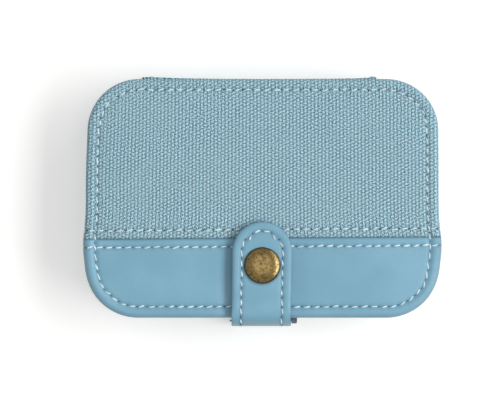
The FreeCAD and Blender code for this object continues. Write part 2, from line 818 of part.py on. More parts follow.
def pocket_strip(label, thickness, start, length, closed):
    """A strip of the slip pocket across both of its halves, open towards the front edge."""
    body = new_body(label)
    section = new_sketch(body, "section", "XZ_Plane", f"-({start})")
    draw(section, pocket_section(thickness, False))
    strip = pad(body, section, length, reverse=True)
    originals = [strip]
    if closed:
        end = new_sketch(body, "end", "XZ_Plane", f"-({start} + {length} - {thickness})")
        draw(end, pocket_section(thickness, True))
        originals.append(pad(body, end, thickness, reverse=True))
    row = body.newObject("PartDesign::LinearPattern", f"{label}_halves")
    row.Originals = originals
    row.Direction = (section, ["H_Axis"])
    row.Mode = "Spacing"
    bind(row, "Offset", "(pocket_width + 2 * pocket_foot)")
    row.Occurrences = 2
    body.Tip = row
    doc.recompute()
    place_half(body, "lid")


def slip_pocket():
    """The slip pocket in the lid, closed towards the hinge, and the elastic binding round its mouth."""
    back = f"({BACK} - {LINING_INSET} - lining_thickness - pocket_back)"
    mouth = f"({back} - pocket_depth)"
    pocket_strip("pocket_panel", "pocket_cloth", mouth, "pocket_depth", True)
    pocket_strip("pocket_binding", "binding_thickness", f"({mouth} - binding_width)", "binding_width", False)


def build():
    """Model every sub-part of the case."""
    fill_sheet()
    for side in ("base", "lid"):
        canvas_panel(side)
        leather_band(side)
        foam_pad(side)
        stiffener_board(side)
        lining(side)
        gusset(side)
        zip_tape(side)
        zip_teeth(side)
        spine_leaf(side)
    strap_tail()
    strap_riser("strap_riser_outer", BEND_MIDDLE, BEND_OUTER)
    strap_riser("strap_riser_lining", "strap_gap", BEND_MIDDLE)
    strap_flap("strap_flap_outer", f"({FLAP_LOW} + strap_layer)")
    strap_flap("strap_flap_lining", FLAP_LOW)
    snap_cap()
    snap_socket()
    snap_stud()
    snap_rivet_plate()
    for name, hand in (("left", -1), ("right", 1)):
        zip_slider(f"zip_slider_{name}", hand)
        zip_pull(f"zip_pull_{name}", hand)
        needle_loops(f"needle_loops_{name}", hand)
    slip_pocket()
    doc.recompute()


def check():
    """Stop if any feature failed or any sub-part has no sound solid."""
    for item in doc.Objects:
        if "Invalid" in item.State or "Error" in item.State:
            raise RuntimeError(f"{item.Label} failed: {item.State}")
    for subpart in subparts:
        shape = subpart.Shape
        if shape.isNull() or not shape.isValid() or not shape.Solids:
            raise RuntimeError(f"{subpart.Label} has no sound solid")


def export():
    """Write each sub-part to its own file."""
    os.makedirs("parts", exist_ok=True)
    for subpart in subparts:
        subpart.Shape.exportStep(f"parts/{subpart.Label}.step")
        box = subpart.Shape.BoundBox
        print(f"{subpart.Label}: {len(subpart.Shape.Solids)} solids, {subpart.Shape.Volume:.1f} mm3, "
              f"z {box.ZMin:.2f} to {box.ZMax:.2f}, y {box.YMin:.2f} to {box.YMax:.2f}")


build()
check()
export()
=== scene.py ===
"""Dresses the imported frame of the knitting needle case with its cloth, leather, thread and metal.

Sizes are in millimetres and become metres where points are written to a mesh. Cloth and leather start as
flat grids. Each point keeps its flat spot as a cloth map, which the weave follows, and is then moved to its
place by formula: a cover rolls over its edge, the strap follows its bends, a loop band follows its arches.
"""
import logging
import math
from collections.abc import Callable, Sequence
from dataclasses import dataclass, field
from enum import Enum, auto

import bpy
import numpy as np
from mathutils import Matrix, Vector
from mathutils.kdtree import KDTree


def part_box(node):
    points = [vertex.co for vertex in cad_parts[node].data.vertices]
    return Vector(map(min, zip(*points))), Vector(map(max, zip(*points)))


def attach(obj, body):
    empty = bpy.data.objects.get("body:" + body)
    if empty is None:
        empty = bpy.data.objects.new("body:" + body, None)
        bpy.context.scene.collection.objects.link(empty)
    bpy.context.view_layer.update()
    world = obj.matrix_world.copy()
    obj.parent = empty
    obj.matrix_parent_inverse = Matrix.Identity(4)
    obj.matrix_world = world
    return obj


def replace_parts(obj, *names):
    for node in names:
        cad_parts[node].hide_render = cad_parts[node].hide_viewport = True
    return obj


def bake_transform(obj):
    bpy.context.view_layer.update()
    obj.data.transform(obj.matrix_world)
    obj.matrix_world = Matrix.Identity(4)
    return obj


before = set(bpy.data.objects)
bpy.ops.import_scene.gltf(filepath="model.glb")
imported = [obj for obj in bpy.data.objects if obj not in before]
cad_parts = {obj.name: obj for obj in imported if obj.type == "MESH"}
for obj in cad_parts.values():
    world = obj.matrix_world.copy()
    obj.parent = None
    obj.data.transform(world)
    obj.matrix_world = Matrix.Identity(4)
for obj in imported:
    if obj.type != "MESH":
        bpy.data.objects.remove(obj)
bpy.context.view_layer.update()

MM = 0.001
QUARTER_TURN = math.pi / 2
CLOTH_MAP = "cloth"
# Each point's share of painted shade: in seams, stitch grooves and needle holes, on rims, round the snap cap
# and at the strap's bend. On the strap's edges it is also edge dye. The stored attribute is named fold.
PAINTED_SHADE_AND_DYE_MARK = "fold"
# Each point's share of painted highlight: on the covers' rolled edges and on the outside of the strap's
# upper bend.
PAINTED_HIGHLIGHT_MARK = "painted_highlight"
LOG = logging.getLogger("needle_case")

Piece = bpy.types.Object
Socket = bpy.types.NodeSocket
Outputs = bpy.types.NodeOutputs
Feed = Socket | float | tuple
Feeds = dict[str | int, Feed]
Colour = tuple[int, int, int]
Pair = tuple[float, float]
Triple = tuple[float, float, float]
Spots = np.ndarray
Placed = tuple[Spots, Spots]
Placement = Callable[[Spots], Placed]
Marking = Callable[[Spots], Spots]


class Half(Enum):
    """The two halves of the case. The base is the lid turned over."""

    LID = "lid"
    BASE = "base"

    @property
    def up(self) -> float:
        """Gives 1 for the lid and -1 for the base."""
        return 1.0 if self is Half.LID else -1.0

    def height(self, drawn: Spots | float, case_height: float) -> Spots | float:
        """Gives the real height of a point that is drawn on the lid."""
        return drawn if self is Half.LID else case_height - drawn


class Side(Enum):
    """Left and right, as seen from above with the hinge at the far side."""

    LEFT = "left"
    RIGHT = "right"


class Drop(Enum):
    """Which side of a cut across a flat sheet is removed."""

    BEHIND = auto()
    AHEAD = auto()


# Meshes


def pick(piece: Piece | None) -> None:
    """Makes one piece the only selected one, or leaves nothing selected."""
    bpy.ops.object.select_all(action="DESELECT")
    bpy.context.view_layer.objects.active = piece
    if piece is not None:
        piece.select_set(True)


def edit(piece: Piece, operator: Callable, **settings: object) -> None:
    """Runs a mesh operator on the whole of a piece."""
    pick(piece)
    bpy.ops.object.mode_set(mode="EDIT")
    bpy.ops.mesh.select_all(action="SELECT")
    operator(**settings)
    bpy.ops.object.mode_set(mode="OBJECT")


def read_points(piece: Piece) -> Spots:
    """Reads a mesh's points, in millimetres."""
    spots = np.empty(len(piece.data.vertices) * 3, np.float32)
    piece.data.vertices.foreach_get("co", spots)
    return spots.reshape(-1, 3).astype(float) / MM


def write_points(piece: Piece, spots: Spots) -> None:
    """Writes a mesh's points, given in millimetres."""
    piece.data.vertices.foreach_set("co", (spots * MM).astype(np.float32).ravel())
    piece.data.update()


def named(piece: Piece, name: str) -> Piece:
    """Names an object and its mesh."""
    piece.name = name
    piece.data.name = name
    return piece


def smooth(piece: Piece, angle: float = 42.0) -> None:
    """Shades a piece smooth, apart from edges sharper than an angle in degrees."""
    pick(piece)
    bpy.ops.object.shade_smooth_by_angle(angle=math.radians(angle))


def node_box(node: str) -> tuple[Spots, Spots]:
    """Gives the lowest and the highest corner of one of the frame's nodes."""
    low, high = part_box(node)
    return np.array(low) / MM, np.array(high) / MM


def flat_grid(name: str, low: Sequence[float], high: Sequence[float], step: float) -> Piece:
    """Lays out a flat sheet between two corners, as a grid of nearly square cells."""
    low, high = np.array(low, float), np.array(high, float)
    columns, rows = np.maximum(1, np.round((high - low) / step)).astype(int)
    pick(None)
    bpy.ops.mesh.primitive_grid_add(x_subdivisions=int(columns), y_subdivisions=int(rows), size=1.0)
    sheet = named(bpy.context.active_object, name)
    shares = read_points(sheet)[:, :2] * MM + 0.5
    write_points(sheet, np.column_stack((low + shares * (high - low), np.zeros(len(shares)))))
    return sheet


def mark(piece: Piece, name: str, shares: Spots) -> None:
    """Stores a share from 0 to 1 for each point, such as a share of painted shade, for finishes to read."""
    layer = piece.data.attributes.new(name, "FLOAT", "POINT")
    layer.data.foreach_set("value", np.clip(shares, 0, 1).astype(np.float32))


def map_cloth(sheet: Piece, cloth: Spots) -> None:
    """Keeps each point's cloth spot as the sheet's cloth map."""
    layer = sheet.data.uv_layers[0]
    layer.name = CLOTH_MAP
    corners = np.empty(len(sheet.data.loops), np.int32)
    sheet.data.loops.foreach_get("vertex_index", corners)
    layer.data.foreach_set("uv", (cloth[corners] * MM).astype(np.float32).ravel())


def tailor(
    sheet: Piece,
    place: Placement,
    thickness: float,
    turned_over: bool = False,
    closed: bool = False,
    marks: dict[str, Marking] | None = None,
) -> Piece:
    """Makes cloth of a flat sheet: moves its points to their places, maps them and gives it its thickness.

    Args:
        sheet: The flat sheet.
        place: Gives the place and the cloth spot of each flat spot.
        thickness: The cloth's thickness, inwards from its outer face.
        turned_over: Whether the outer face is the grid's underside.
        closed: Whether the sheet's ends meet and are joined.
        marks: Gives the shares to store for the flat spots, by name.
    Returns:
        The sheet.
    """
    flat = read_points(sheet)[:, :2]
    spots, cloth = place(flat)
    write_points(sheet, spots)
    for name, marking in (marks or {}).items():
        mark(sheet, name, marking(flat))
    map_cloth(sheet, cloth)
    if turned_over:
        sheet.data.flip_normals()
    if closed:
        edit(sheet, bpy.ops.mesh.remove_doubles, threshold=0.01 * MM)
    modifier = sheet.modifiers.new("thickness", "SOLIDIFY")
    modifier.thickness = thickness * MM
    modifier.offset = -1.0
    pick(sheet)
    bpy.ops.object.modifier_apply(modifier=modifier.name)
    smooth(sheet)
    return sheet


# Formulas


def ring_map(flat: Spots, half: Sequence[float], radius: float) -> tuple[Spots, Spots, Spots, Spots]:
    """Rounds the corners of a flat rectangle, ring by ring, so that rings follow its rim.

    Args:
        flat: Spots measured from the rectangle's centre.
        half: Half the rectangle's width and length.
        radius: The corner radius at the rim.
    Returns:
        Each spot's inset from the rim, the start of its radius, its outward direction and its radius.
    """
    sign = np.where(flat < 0, -1.0, 1.0)
    size = np.abs(flat)
    margin = np.array(half) - size
    inset = margin.min(axis=1)
    reach = radius - inset
    beside = margin[:, 0] < margin[:, 1]
    share = np.clip((margin.max(axis=1) - inset) / np.maximum(reach, 1e-9), 0, 1)
    in_corner = ((reach > 0) & (share < 1))[:, None]
    angle = QUARTER_TURN / 2 * np.where(beside, 1 - share, 1 + share)
    straight = np.column_stack((beside, ~beside)).astype(float)
    outward = np.where(in_corner, np.column_stack((np.cos(angle), np.sin(angle))), straight)
    start = np.where(in_corner | (straight > 0), np.array(half) - radius, size)
    return inset, start * sign, outward * sign, reach


def bump(distance: Spots, width: float) -> Spots:
    """Gives 1 at no distance, falling smoothly to 0 past the width."""
    return np.exp(-((distance / width) ** 2))


def rise(value: Spots, start: float, end: float) -> Spots:
    """Gives 0 before the start, 1 after the end and a smooth rise between them."""
    share = np.clip((value - start) / (end - start), 0, 1)
    return share * share * (3 - 2 * share)


def hump(share: Spots) -> Spots:
    """Gives 0 at both ends of a share and 1 half way."""
    return 4 * share * (1 - share)


def unit(vectors: Spots) -> Spots:
    """Gives vectors a length of 1."""
    return vectors / np.linalg.norm(vectors, axis=1)[:, None]


def nearest(spots: Spots, goals: Spots) -> Spots:
    """Gives each spot's distance to the nearest goal."""
    tree = KDTree(len(goals))
    for index, goal in enumerate(goals):
        tree.insert((goal[0], goal[1], 0.0), index)
    tree.balance()
    return np.array([tree.find((x, y, 0.0))[2] for x, y in spots])


def lengths(line: Spots) -> Spots:
    """Gives the length along a line up to each of its points."""
    return np.concatenate(([0.0], np.cumsum(np.linalg.norm(np.diff(line, axis=0), axis=1))))


def point_at(along: Spots, length: Spots, line: Spots) -> Spots:
    """Gives what a line's points have, such as their place, at lengths along it."""
    return np.column_stack([np.interp(along, length, line[:, axis]) for axis in (0, 1)])


def joined_lines(*corners: Sequence[float], step: float = 0.4) -> Spots:
    """Draws straight lines of close spots from corner to corner."""
    lines = []
    for start, end in zip(np.array(corners, float), np.array(corners[1:], float)):
        count = max(2, int(np.linalg.norm(end - start) / step))
        lines.append(start + np.linspace(0, 1, count)[:, None] * (end - start))
    return np.concatenate(lines)


def linear(colour: Colour) -> tuple[float, ...]:
    """Turns a screen colour of 0 to 255 into the linear colour that shaders read."""
    channels = np.array(colour, float) / 255
    curved = ((channels + 0.055) / 1.055) ** 2.4
    return (*np.where(channels <= 0.04045, channels / 12.92, curved), 1.0)


# Finishes


class NodeSheet:
    """Short ways to add and join the nodes of one material, world or node group."""

    def __init__(self, tree: bpy.types.NodeTree) -> None:
        """Starts on an empty tree."""
        self.tree = tree
        tree.nodes.clear()

    def add(self, kind: str, feeds: Feeds | None = None, **settings: object) -> Outputs:
        """Adds a node.

        Args:
            kind: The node's type, without its Shader prefix.
            feeds: What goes into its inputs: a socket to link, or a value.
            settings: The node's properties.
        Returns:
            The new node's outputs.
        """
        node = self.tree.nodes.new(kind if kind.startswith("Node") else f"ShaderNode{kind}")
        for key, value in settings.items():
            setattr(node, key, value)
        for key, value in (feeds or {}).items():
            if isinstance(value, Socket):
                self.tree.links.new(value, node.inputs[key])
            else:
                node.inputs[key].default_value = value
        return node.outputs

    def math(self, operation: str, *values: Feed) -> Socket:
        """Adds a Math node and gives its result."""
        return self.add("Math", dict(enumerate(values)), operation=operation)[0]

    def mix(self, share: Feed, low: Socket | Colour, high: Socket | Colour) -> Socket:
        """Mixes two colours, each a socket or a screen colour."""
        ends = [linear(end) if isinstance(end, tuple) else end for end in (low, high)]
        return self.add("Mix", {0: share, 6: ends[0], 7: ends[1]}, data_type="RGBA")[2]

    def spread(self, value: Feed, low: float, high: float, start: float = 0.0, end: float = 1.0) -> Socket:
        """Spreads the values between low and high over a new range, with a smooth rise."""
        feeds = {"Value": value, "From Min": low, "From Max": high, "To Min": start, "To Max": end}
        return self.add("MapRange", feeds, interpolation_type="SMOOTHSTEP")[0]

    def noise(self, place: Socket, scale: Feed, detail: float = 2.0) -> Socket:
        """Adds a noise and gives its value."""
        feeds = {"Vector": place, "Scale": scale, "Detail": detail}
        return self.add("TexNoise", feeds, noise_dimensions="3D")["Fac"]

    def place(self) -> Socket:
        """Gives the piece's own coordinates."""
        return self.add("TexCoord")["Object"]

    def cloth(self) -> Socket:
        """Gives the piece's cloth map."""
        return self.add("UVMap", uv_map=CLOTH_MAP)[0]

    def marked(self, name: str) -> Socket:
        """Gives a share that is stored with the piece, or 0 where it has none."""
        return self.add("Attribute", attribute_name=name)["Fac"]

    def effect(self, group: bpy.types.NodeTree, **feeds: Feed) -> Outputs:
        """Places a shared effect with its own values."""
        return self.add("Group", feeds, node_tree=group)


class Effects:
    """The effects that several finishes share, each a node group that is built once."""

    def __init__(self) -> None:
        """Builds the groups."""
        self.weave = self.make_weave()
        self.grain = self.make_grain()
        self.drift = self.make_drift()
        self.tarnish = self.make_tarnish()

    @staticmethod
    def start(name: str, inputs: dict[str, str], outputs: Sequence[str]) -> tuple[NodeSheet, Outputs]:
        """Starts a group with its sockets.

        Args:
            name: The group's name.
            inputs: Each input's name and its socket type.
            outputs: The names of its outputs, all of them values.
        Returns:
            The group's sheet of nodes, and what it is given.
        """
        group = bpy.data.node_groups.new(name, "ShaderNodeTree")
        for key, kind in inputs.items():
            group.interface.new_socket(key, in_out="INPUT", socket_type=f"NodeSocket{kind}")
        for key in outputs:
            group.interface.new_socket(key, in_out="OUTPUT", socket_type="NodeSocketFloat")
        sheet = NodeSheet(group)
        return sheet, sheet.add("NodeGroupInput")

    def make_weave(self) -> bpy.types.NodeTree:
        """Builds the weave: staggered floats of yarn, from three waves across the cloth."""
        inputs = {"Cloth": "Vector", "Warp": "Float", "Repeat": "Float", "Waver": "Float"}
        sheet, given = self.start("weave", inputs, ("Height", "Fibre"))
        wander = sheet.math("SUBTRACT", sheet.noise(given["Cloth"], scale=90.0, detail=4.0), 0.5)
        shift = sheet.math("MULTIPLY", wander, given["Waver"])
        split = sheet.add("SeparateXYZ", {0: given["Cloth"]})
        across = sheet.math("DIVIDE", sheet.math("ADD", split[0], shift), given["Warp"])
        along = sheet.math("DIVIDE", sheet.math("ADD", split[1], shift), given["Repeat"])
        half_across = sheet.math("MULTIPLY", across, 0.5)
        rising = sheet.math("SUBTRACT", half_across, along)
        falling = sheet.math("ADD", half_across, along)
        height: Feed = 0.5
        for turns, strength in ((across, 0.2), (rising, 0.165), (falling, 0.09)):
            wave = sheet.math("COSINE", sheet.math("MULTIPLY", turns, 2 * math.pi))
            height = sheet.math("MULTIPLY_ADD", wave, strength, height)
        fibre = sheet.noise(given["Cloth"], scale=sheet.math("DIVIDE", 3.6, given["Warp"]), detail=1.0)
        sheet.add("NodeGroupOutput", {"Height": height, "Fibre": fibre})
        return sheet.tree

    def make_grain(self) -> bpy.types.NodeTree:
        """Builds leather grain: small pebbles parted by fine creases."""
        sheet, given = self.start("grain", {"Place": "Vector", "Cells": "Float"}, ("Height", "Crease"))
        warp = sheet.math("MULTIPLY", sheet.noise(given["Place"], scale=420.0), 0.0009)
        moved = sheet.add("VectorMath", {0: given["Place"], 1: warp}, operation="ADD")[0]
        feeds = {"Vector": moved, "Scale": given["Cells"]}
        cells = sheet.add("TexVoronoi", feeds, feature="DISTANCE_TO_EDGE")
        pebble = sheet.spread(cells["Distance"], low=0.0, high=0.22)
        height = sheet.math("MULTIPLY_ADD", sheet.noise(given["Place"], scale=3200.0), 0.35, pebble)
        sheet.add("NodeGroupOutput", {"Height": height, "Crease": sheet.math("SUBTRACT", 1.0, pebble)})
        return sheet.tree

    def make_drift(self) -> bpy.types.NodeTree:
        """Builds a slow drift from 0 to 1, for faded and rubbed patches."""
        sheet, given = self.start("drift", {"Place": "Vector", "Scale": "Float"}, ("Share",))
        slow = sheet.noise(given["Place"], given["Scale"], detail=4.0)
        sheet.add("NodeGroupOutput", {"Share": sheet.spread(slow, low=0.32, high=0.68)})
        return sheet.tree

    def make_tarnish(self) -> bpy.types.NodeTree:
        """Builds the dull patches and fine scratches of old metal."""
        sheet, given = self.start("tarnish", {"Place": "Vector", "Scale": "Float"}, ("Patch", "Scratch"))
        blotches = sheet.noise(given["Place"], given["Scale"], detail=6.0)
        patch = sheet.spread(blotches, low=0.42, high=0.7)
        drawn = sheet.add("Mapping", {"Vector": given["Place"], "Scale": (1.0, 9.0, 9.0)})[0]
        sheet.add("NodeGroupOutput", {"Patch": patch, "Scratch": sheet.noise(drawn, scale=900.0)})
        return sheet.tree


@dataclass(frozen=True)
class Finish:
    """A surface finish: a shader with its own name, roughness and relief."""

    name: str
    roughness: float
    relief: float
    metallic: float = 0.0
    coat: float = 0.0
    coat_roughness: float = 0.12
    shine_reach: float = 0.0
    drift_scale: float = 60.0

    def material(self, effects: Effects) -> bpy.types.Material:
        """Builds the material."""
        material = bpy.data.materials.new(self.name)
        material.use_nodes = True
        sheet = NodeSheet(material.node_tree)
        feeds = self.paint(sheet, effects)
        relief = {"Height": feeds.pop("Height"), "Distance": self.relief * MM, "Strength": 1.0}
        shine = {
            "Roughness": self.roughness,
            "Metallic": self.metallic,
            "Coat Weight": self.coat,
            "Coat Roughness": self.coat_roughness,
            "Normal": sheet.add("Bump", relief)[0],
        }
        shader = sheet.add("BsdfPrincipled", {**shine, **feeds})
        sheet.add("OutputMaterial", {"Surface": shader[0]})
        return material

    def paint(self, sheet: NodeSheet, effects: Effects) -> Feeds:
        """Gives what feeds the shader, and the height of the relief. Each kind of finish has its own."""
        raise NotImplementedError

    def shine(self, sheet: NodeSheet, share: Socket) -> Socket:
        """Gives a roughness that grows with a share, by a reach to both sides of the finish's own."""
        ends = (self.roughness - self.shine_reach, self.roughness + self.shine_reach)
        return sheet.spread(share, 0.0, 1.0, *ends)

    def drift(self, sheet: NodeSheet, effects: Effects, place: Socket) -> Socket:
        """Gives the slow drift of faded and rubbed patches."""
        return sheet.effect(effects.drift, Place=place, Scale=self.drift_scale)["Share"]


@dataclass(frozen=True)
class Woven(Finish):
    """Cloth with a plain weave: light yarn floats over gaps painted dark as shade."""

    yarn: Colour = (198, 239, 253)
    # The gap colour is painted shade in the hollows between the yarn floats.
    gap: Colour = (58, 96, 118)
    faded: Colour = (176, 204, 214)
    # Colour of the painted shade in the seam, in stitch grooves and round needle holes.
    painted_shade_and_dye_colour: Colour = (46, 74, 92)
    warp: float = 1.52
    repeat: float = 1.54
    waver: float = 0.3
    unevenness: float = 2.9
    yarn_height: float = 0.94
    fade: float = 0.1
    drift_scale: float = 45.0

    def paint(self, sheet: NodeSheet, effects: Effects) -> Feeds:
        """Colours the yarns and the gaps' painted shade, mixes in the marked painted shade and gives the
        weave's height.
        """
        cloth = sheet.cloth()
        sizes = {"Warp": self.warp * MM, "Repeat": self.repeat * MM, "Waver": self.waver * MM}
        weave = sheet.effect(effects.weave, Cloth=cloth, **sizes)
        drift = self.drift(sheet, effects, cloth)
        uneven = sheet.math("SUBTRACT", weave["Fibre"], 0.5)
        height = sheet.math("MULTIPLY_ADD", uneven, self.unevenness, weave["Height"])
        # Gaps between the floats take the gap colour: painted shade.
        base = sheet.mix(sheet.spread(height, 0.0, self.yarn_height), self.gap, self.yarn)
        toned = sheet.mix(sheet.math("MULTIPLY", drift, self.fade), base, self.faded)
        # The mark mixes in painted shade: in the seam, in stitch grooves and round needle holes.
        return {"Base Color": sheet.mix(sheet.marked(PAINTED_SHADE_AND_DYE_MARK), toned, self.painted_shade_and_dye_colour), "Height": height}


@dataclass(frozen=True)
class Leather(Finish):
    """Faux leather: fine pebbled grain with a soft shine."""

    tone: Colour = (126, 174, 196)
    shade: Colour = (109, 156, 178)
    # Colour of the painted shade: in the seam and stitch grooves, on the rim, round the snap cap and at the
    # strap's bend. On the strap's edges it also gives the edge dye.
    painted_shade_and_dye_colour: Colour = (48, 84, 106)
    # Pale colour of the painted highlight on the rolled edges and on the strap's upper bend.
    painted_light_mix: Colour = (172, 182, 184)
    cells: float = 1300.0
    crease_shade: float = 0.15
    patch_shade: float = 0.5
    shine_reach: float = 0.06
    # The drift's offset is picked so that the leather comes out darker on the right of the case: painted
    # shade in the drift's patches.
    painted_shade_drift_offset: float = 0.1
    drift_scale: float = 40.0

    def paint(self, sheet: NodeSheet, effects: Effects) -> Feeds:
        """Colours the pebbles and creases, mixes in the marked painted highlight and painted shade, and
        gives the grain's height.
        """
        place = sheet.place()
        grain = sheet.effect(effects.grain, Place=place, Cells=self.cells)
        moved = sheet.add("Mapping", {"Vector": place, "Location": (0.0, 0.0, self.painted_shade_drift_offset)})[0]
        drift = self.drift(sheet, effects, moved)
        base = sheet.mix(sheet.math("MULTIPLY", grain["Crease"], self.crease_shade), self.tone, self.shade)
        toned = sheet.mix(sheet.math("MULTIPLY", drift, self.patch_shade), base, self.shade)
        # Painted highlight, mixed in by its mark.
        painted_light_mix = sheet.mix(sheet.marked(PAINTED_HIGHLIGHT_MARK), toned, self.painted_light_mix)
        # Painted shade, and on the strap's edges edge dye, mixed in by their mark.
        colour = sheet.mix(sheet.marked(PAINTED_SHADE_AND_DYE_MARK), painted_light_mix, self.painted_shade_and_dye_colour)
        shine = self.shine(sheet, drift)
        return {"Base Color": colour, "Roughness": shine, "Height": grain["Height"]}


@dataclass(frozen=True)
class Thread(Finish):
    """Sewing thread with a lay of twisted plies."""

    tone: Colour = (238, 252, 255)
    shade: Colour = (180, 216, 228)
    ply: float = 900.0
    ply_shade: float = 0.35
    patch_shade: float = 0.15
    drift_scale: float = 120.0

    def paint(self, sheet: NodeSheet, effects: Effects) -> Feeds:
        """Colours the plies, with painted shade between them, and gives their height."""
        place = sheet.place()
        split = sheet.add("SeparateXYZ", {0: place})
        diagonal = sheet.math("ADD", sheet.math("ADD", split[0], split[1]), split[2])
        wave = sheet.math("SINE", sheet.math("MULTIPLY", diagonal, self.ply * 2 * math.pi))
        ply = sheet.math("MULTIPLY_ADD", wave, 0.5, 0.5)
        drift = self.drift(sheet, effects, place)
        # The valleys between the plies are painted darker: painted shade, with the drift's random tone
        # added.
        shade = sheet.math("MULTIPLY", sheet.math("SUBTRACT", 1.0, ply), self.ply_shade)
        painted_light_mix = sheet.math("MULTIPLY_ADD", drift, self.patch_shade, shade)
        return {"Base Color": sheet.mix(painted_light_mix, self.tone, self.shade), "Height": ply}


@dataclass(frozen=True)
class Metal(Finish):
    """Plated metal with dull patches and fine scratches."""

    bright: Colour = (122, 102, 58)
    dull: Colour = (56, 43, 21)
    # Colour of the painted shade on the snap cap's rim.
    painted_shade_and_dye_colour: Colour = (30, 30, 24)
    patches: float = 520.0
    patch_share: float = 0.65
    scratch_share: float = 0.35
    shine_reach: float = 0.14

    def paint(self, sheet: NodeSheet, effects: Effects) -> Feeds:
        """Colours the bright and dull metal, mixes in the marked painted shade and gives its height."""
        tarnish = sheet.effect(effects.tarnish, Place=sheet.place(), Scale=self.patches)
        patch, scratch = tarnish["Patch"], tarnish["Scratch"]
        patched = sheet.math("MULTIPLY", patch, self.patch_share)
        share = sheet.math("MULTIPLY_ADD", scratch, self.scratch_share, patched)
        base = sheet.mix(share, self.bright, self.dull)
        # Painted shade, mixed in by its mark.
        colour = sheet.mix(sheet.marked(PAINTED_SHADE_AND_DYE_MARK), base, self.painted_shade_and_dye_colour)
        height = sheet.math("SUBTRACT", scratch, patch)
        return {"Base Color": colour, "Roughness": self.shine(sheet, share), "Height": height}


@dataclass(frozen=True)
class Ribbed(Finish):
    """Knitted elastic: ribs along the band, crossed by fine stitches."""

    tone: Colour = (74, 88, 99)
    shade: Colour = (38, 47, 55)
    rib: float = 1.1
    course: float = 0.7
    rib_height: float = 0.7
    course_height: float = 0.3
    patch_shade: float = 0.15
    drift_scale: float = 90.0

    def paint(self, sheet: NodeSheet, effects: Effects) -> Feeds:
        """Colours the ribs, with painted shade in their valleys, and gives their height."""
        cloth = sheet.cloth()
        split = sheet.add("SeparateXYZ", {0: cloth})
        waves = []
        for output, pitch in ((split[0], self.rib), (split[1], self.course)):
            turns = sheet.math("MULTIPLY", output, 2 * math.pi / (pitch * MM))
            waves.append(sheet.math("MULTIPLY_ADD", sheet.math("COSINE", turns), 0.5, 0.5))
        ribs = sheet.math("MULTIPLY", waves[0], self.rib_height)
        height = sheet.math("MULTIPLY_ADD", waves[1], self.course_height, ribs)
        drift = self.drift(sheet, effects, cloth)
        # Valleys between the ribs and courses are painted darker: painted shade, with the drift's random
        # tone.
        share = sheet.math("MULTIPLY_ADD", drift, -self.patch_shade, height)
        return {"Base Color": sheet.mix(share, self.shade, self.tone), "Height": height}


@dataclass(frozen=True)
class Net(Finish):
    """Open mesh cloth: round holes in staggered rows."""

    tone: Colour = (98, 116, 128)
    shade: Colour = (60, 74, 84)
    pitch: float = 2.2
    waver: float = 0.2
    hole: float = 0.36
    hole_edge: float = 0.12
    fibre: float = 0.4

    def paint(self, sheet: NodeSheet, effects: Effects) -> Feeds:
        """Colours the threads, opens the holes and gives the threads' height."""
        sizes = {"Warp": self.pitch * MM, "Repeat": self.pitch * MM, "Waver": self.waver * MM}
        weave = sheet.effect(effects.weave, Cloth=sheet.cloth(), **sizes)
        thread = sheet.math("SUBTRACT", 1.0, weave["Height"])
        share = sheet.math("MULTIPLY_ADD", weave["Fibre"], self.fibre, thread)
        colour = sheet.mix(share, self.shade, self.tone)
        alpha = sheet.spread(thread, self.hole, self.hole + self.hole_edge)
        return {"Base Color": colour, "Alpha": alpha, "Height": thread}


@dataclass(frozen=True)
class Mottled(Finish):
    """Plastic, board and foam: a plain surface with a fine mottle."""

    tone: Colour = (170, 160, 140)
    shade: Colour = (130, 120, 104)
    grit: float = 1500.0
    patch_light: float = 0.3

    def paint(self, sheet: NodeSheet, effects: Effects) -> Feeds:
        """Colours the mottle and gives its height."""
        place = sheet.place()
        grit = sheet.noise(place, self.grit, detail=3.0)
        drift = self.drift(sheet, effects, place)
        share = sheet.math("MULTIPLY_ADD", drift, self.patch_light, grit)
        return {"Base Color": sheet.mix(share, self.shade, self.tone), "Height": grit}


# Sewing and dressing


@dataclass
class StitchRow:
    """A row of topstitching along a line drawn on a flat sheet."""

    line: Spots
    place: Placement
    pitch: float = 4.1
    stops: Spots = field(init=False)

    def __post_init__(self) -> None:
        """Spaces the needle holes evenly along the placed line."""
        length = lengths(self.place(self.line)[0])
        count = max(2, round(length[-1] / self.pitch))
        self.stops = point_at(np.linspace(0, length[-1], count + 1), length, self.line)


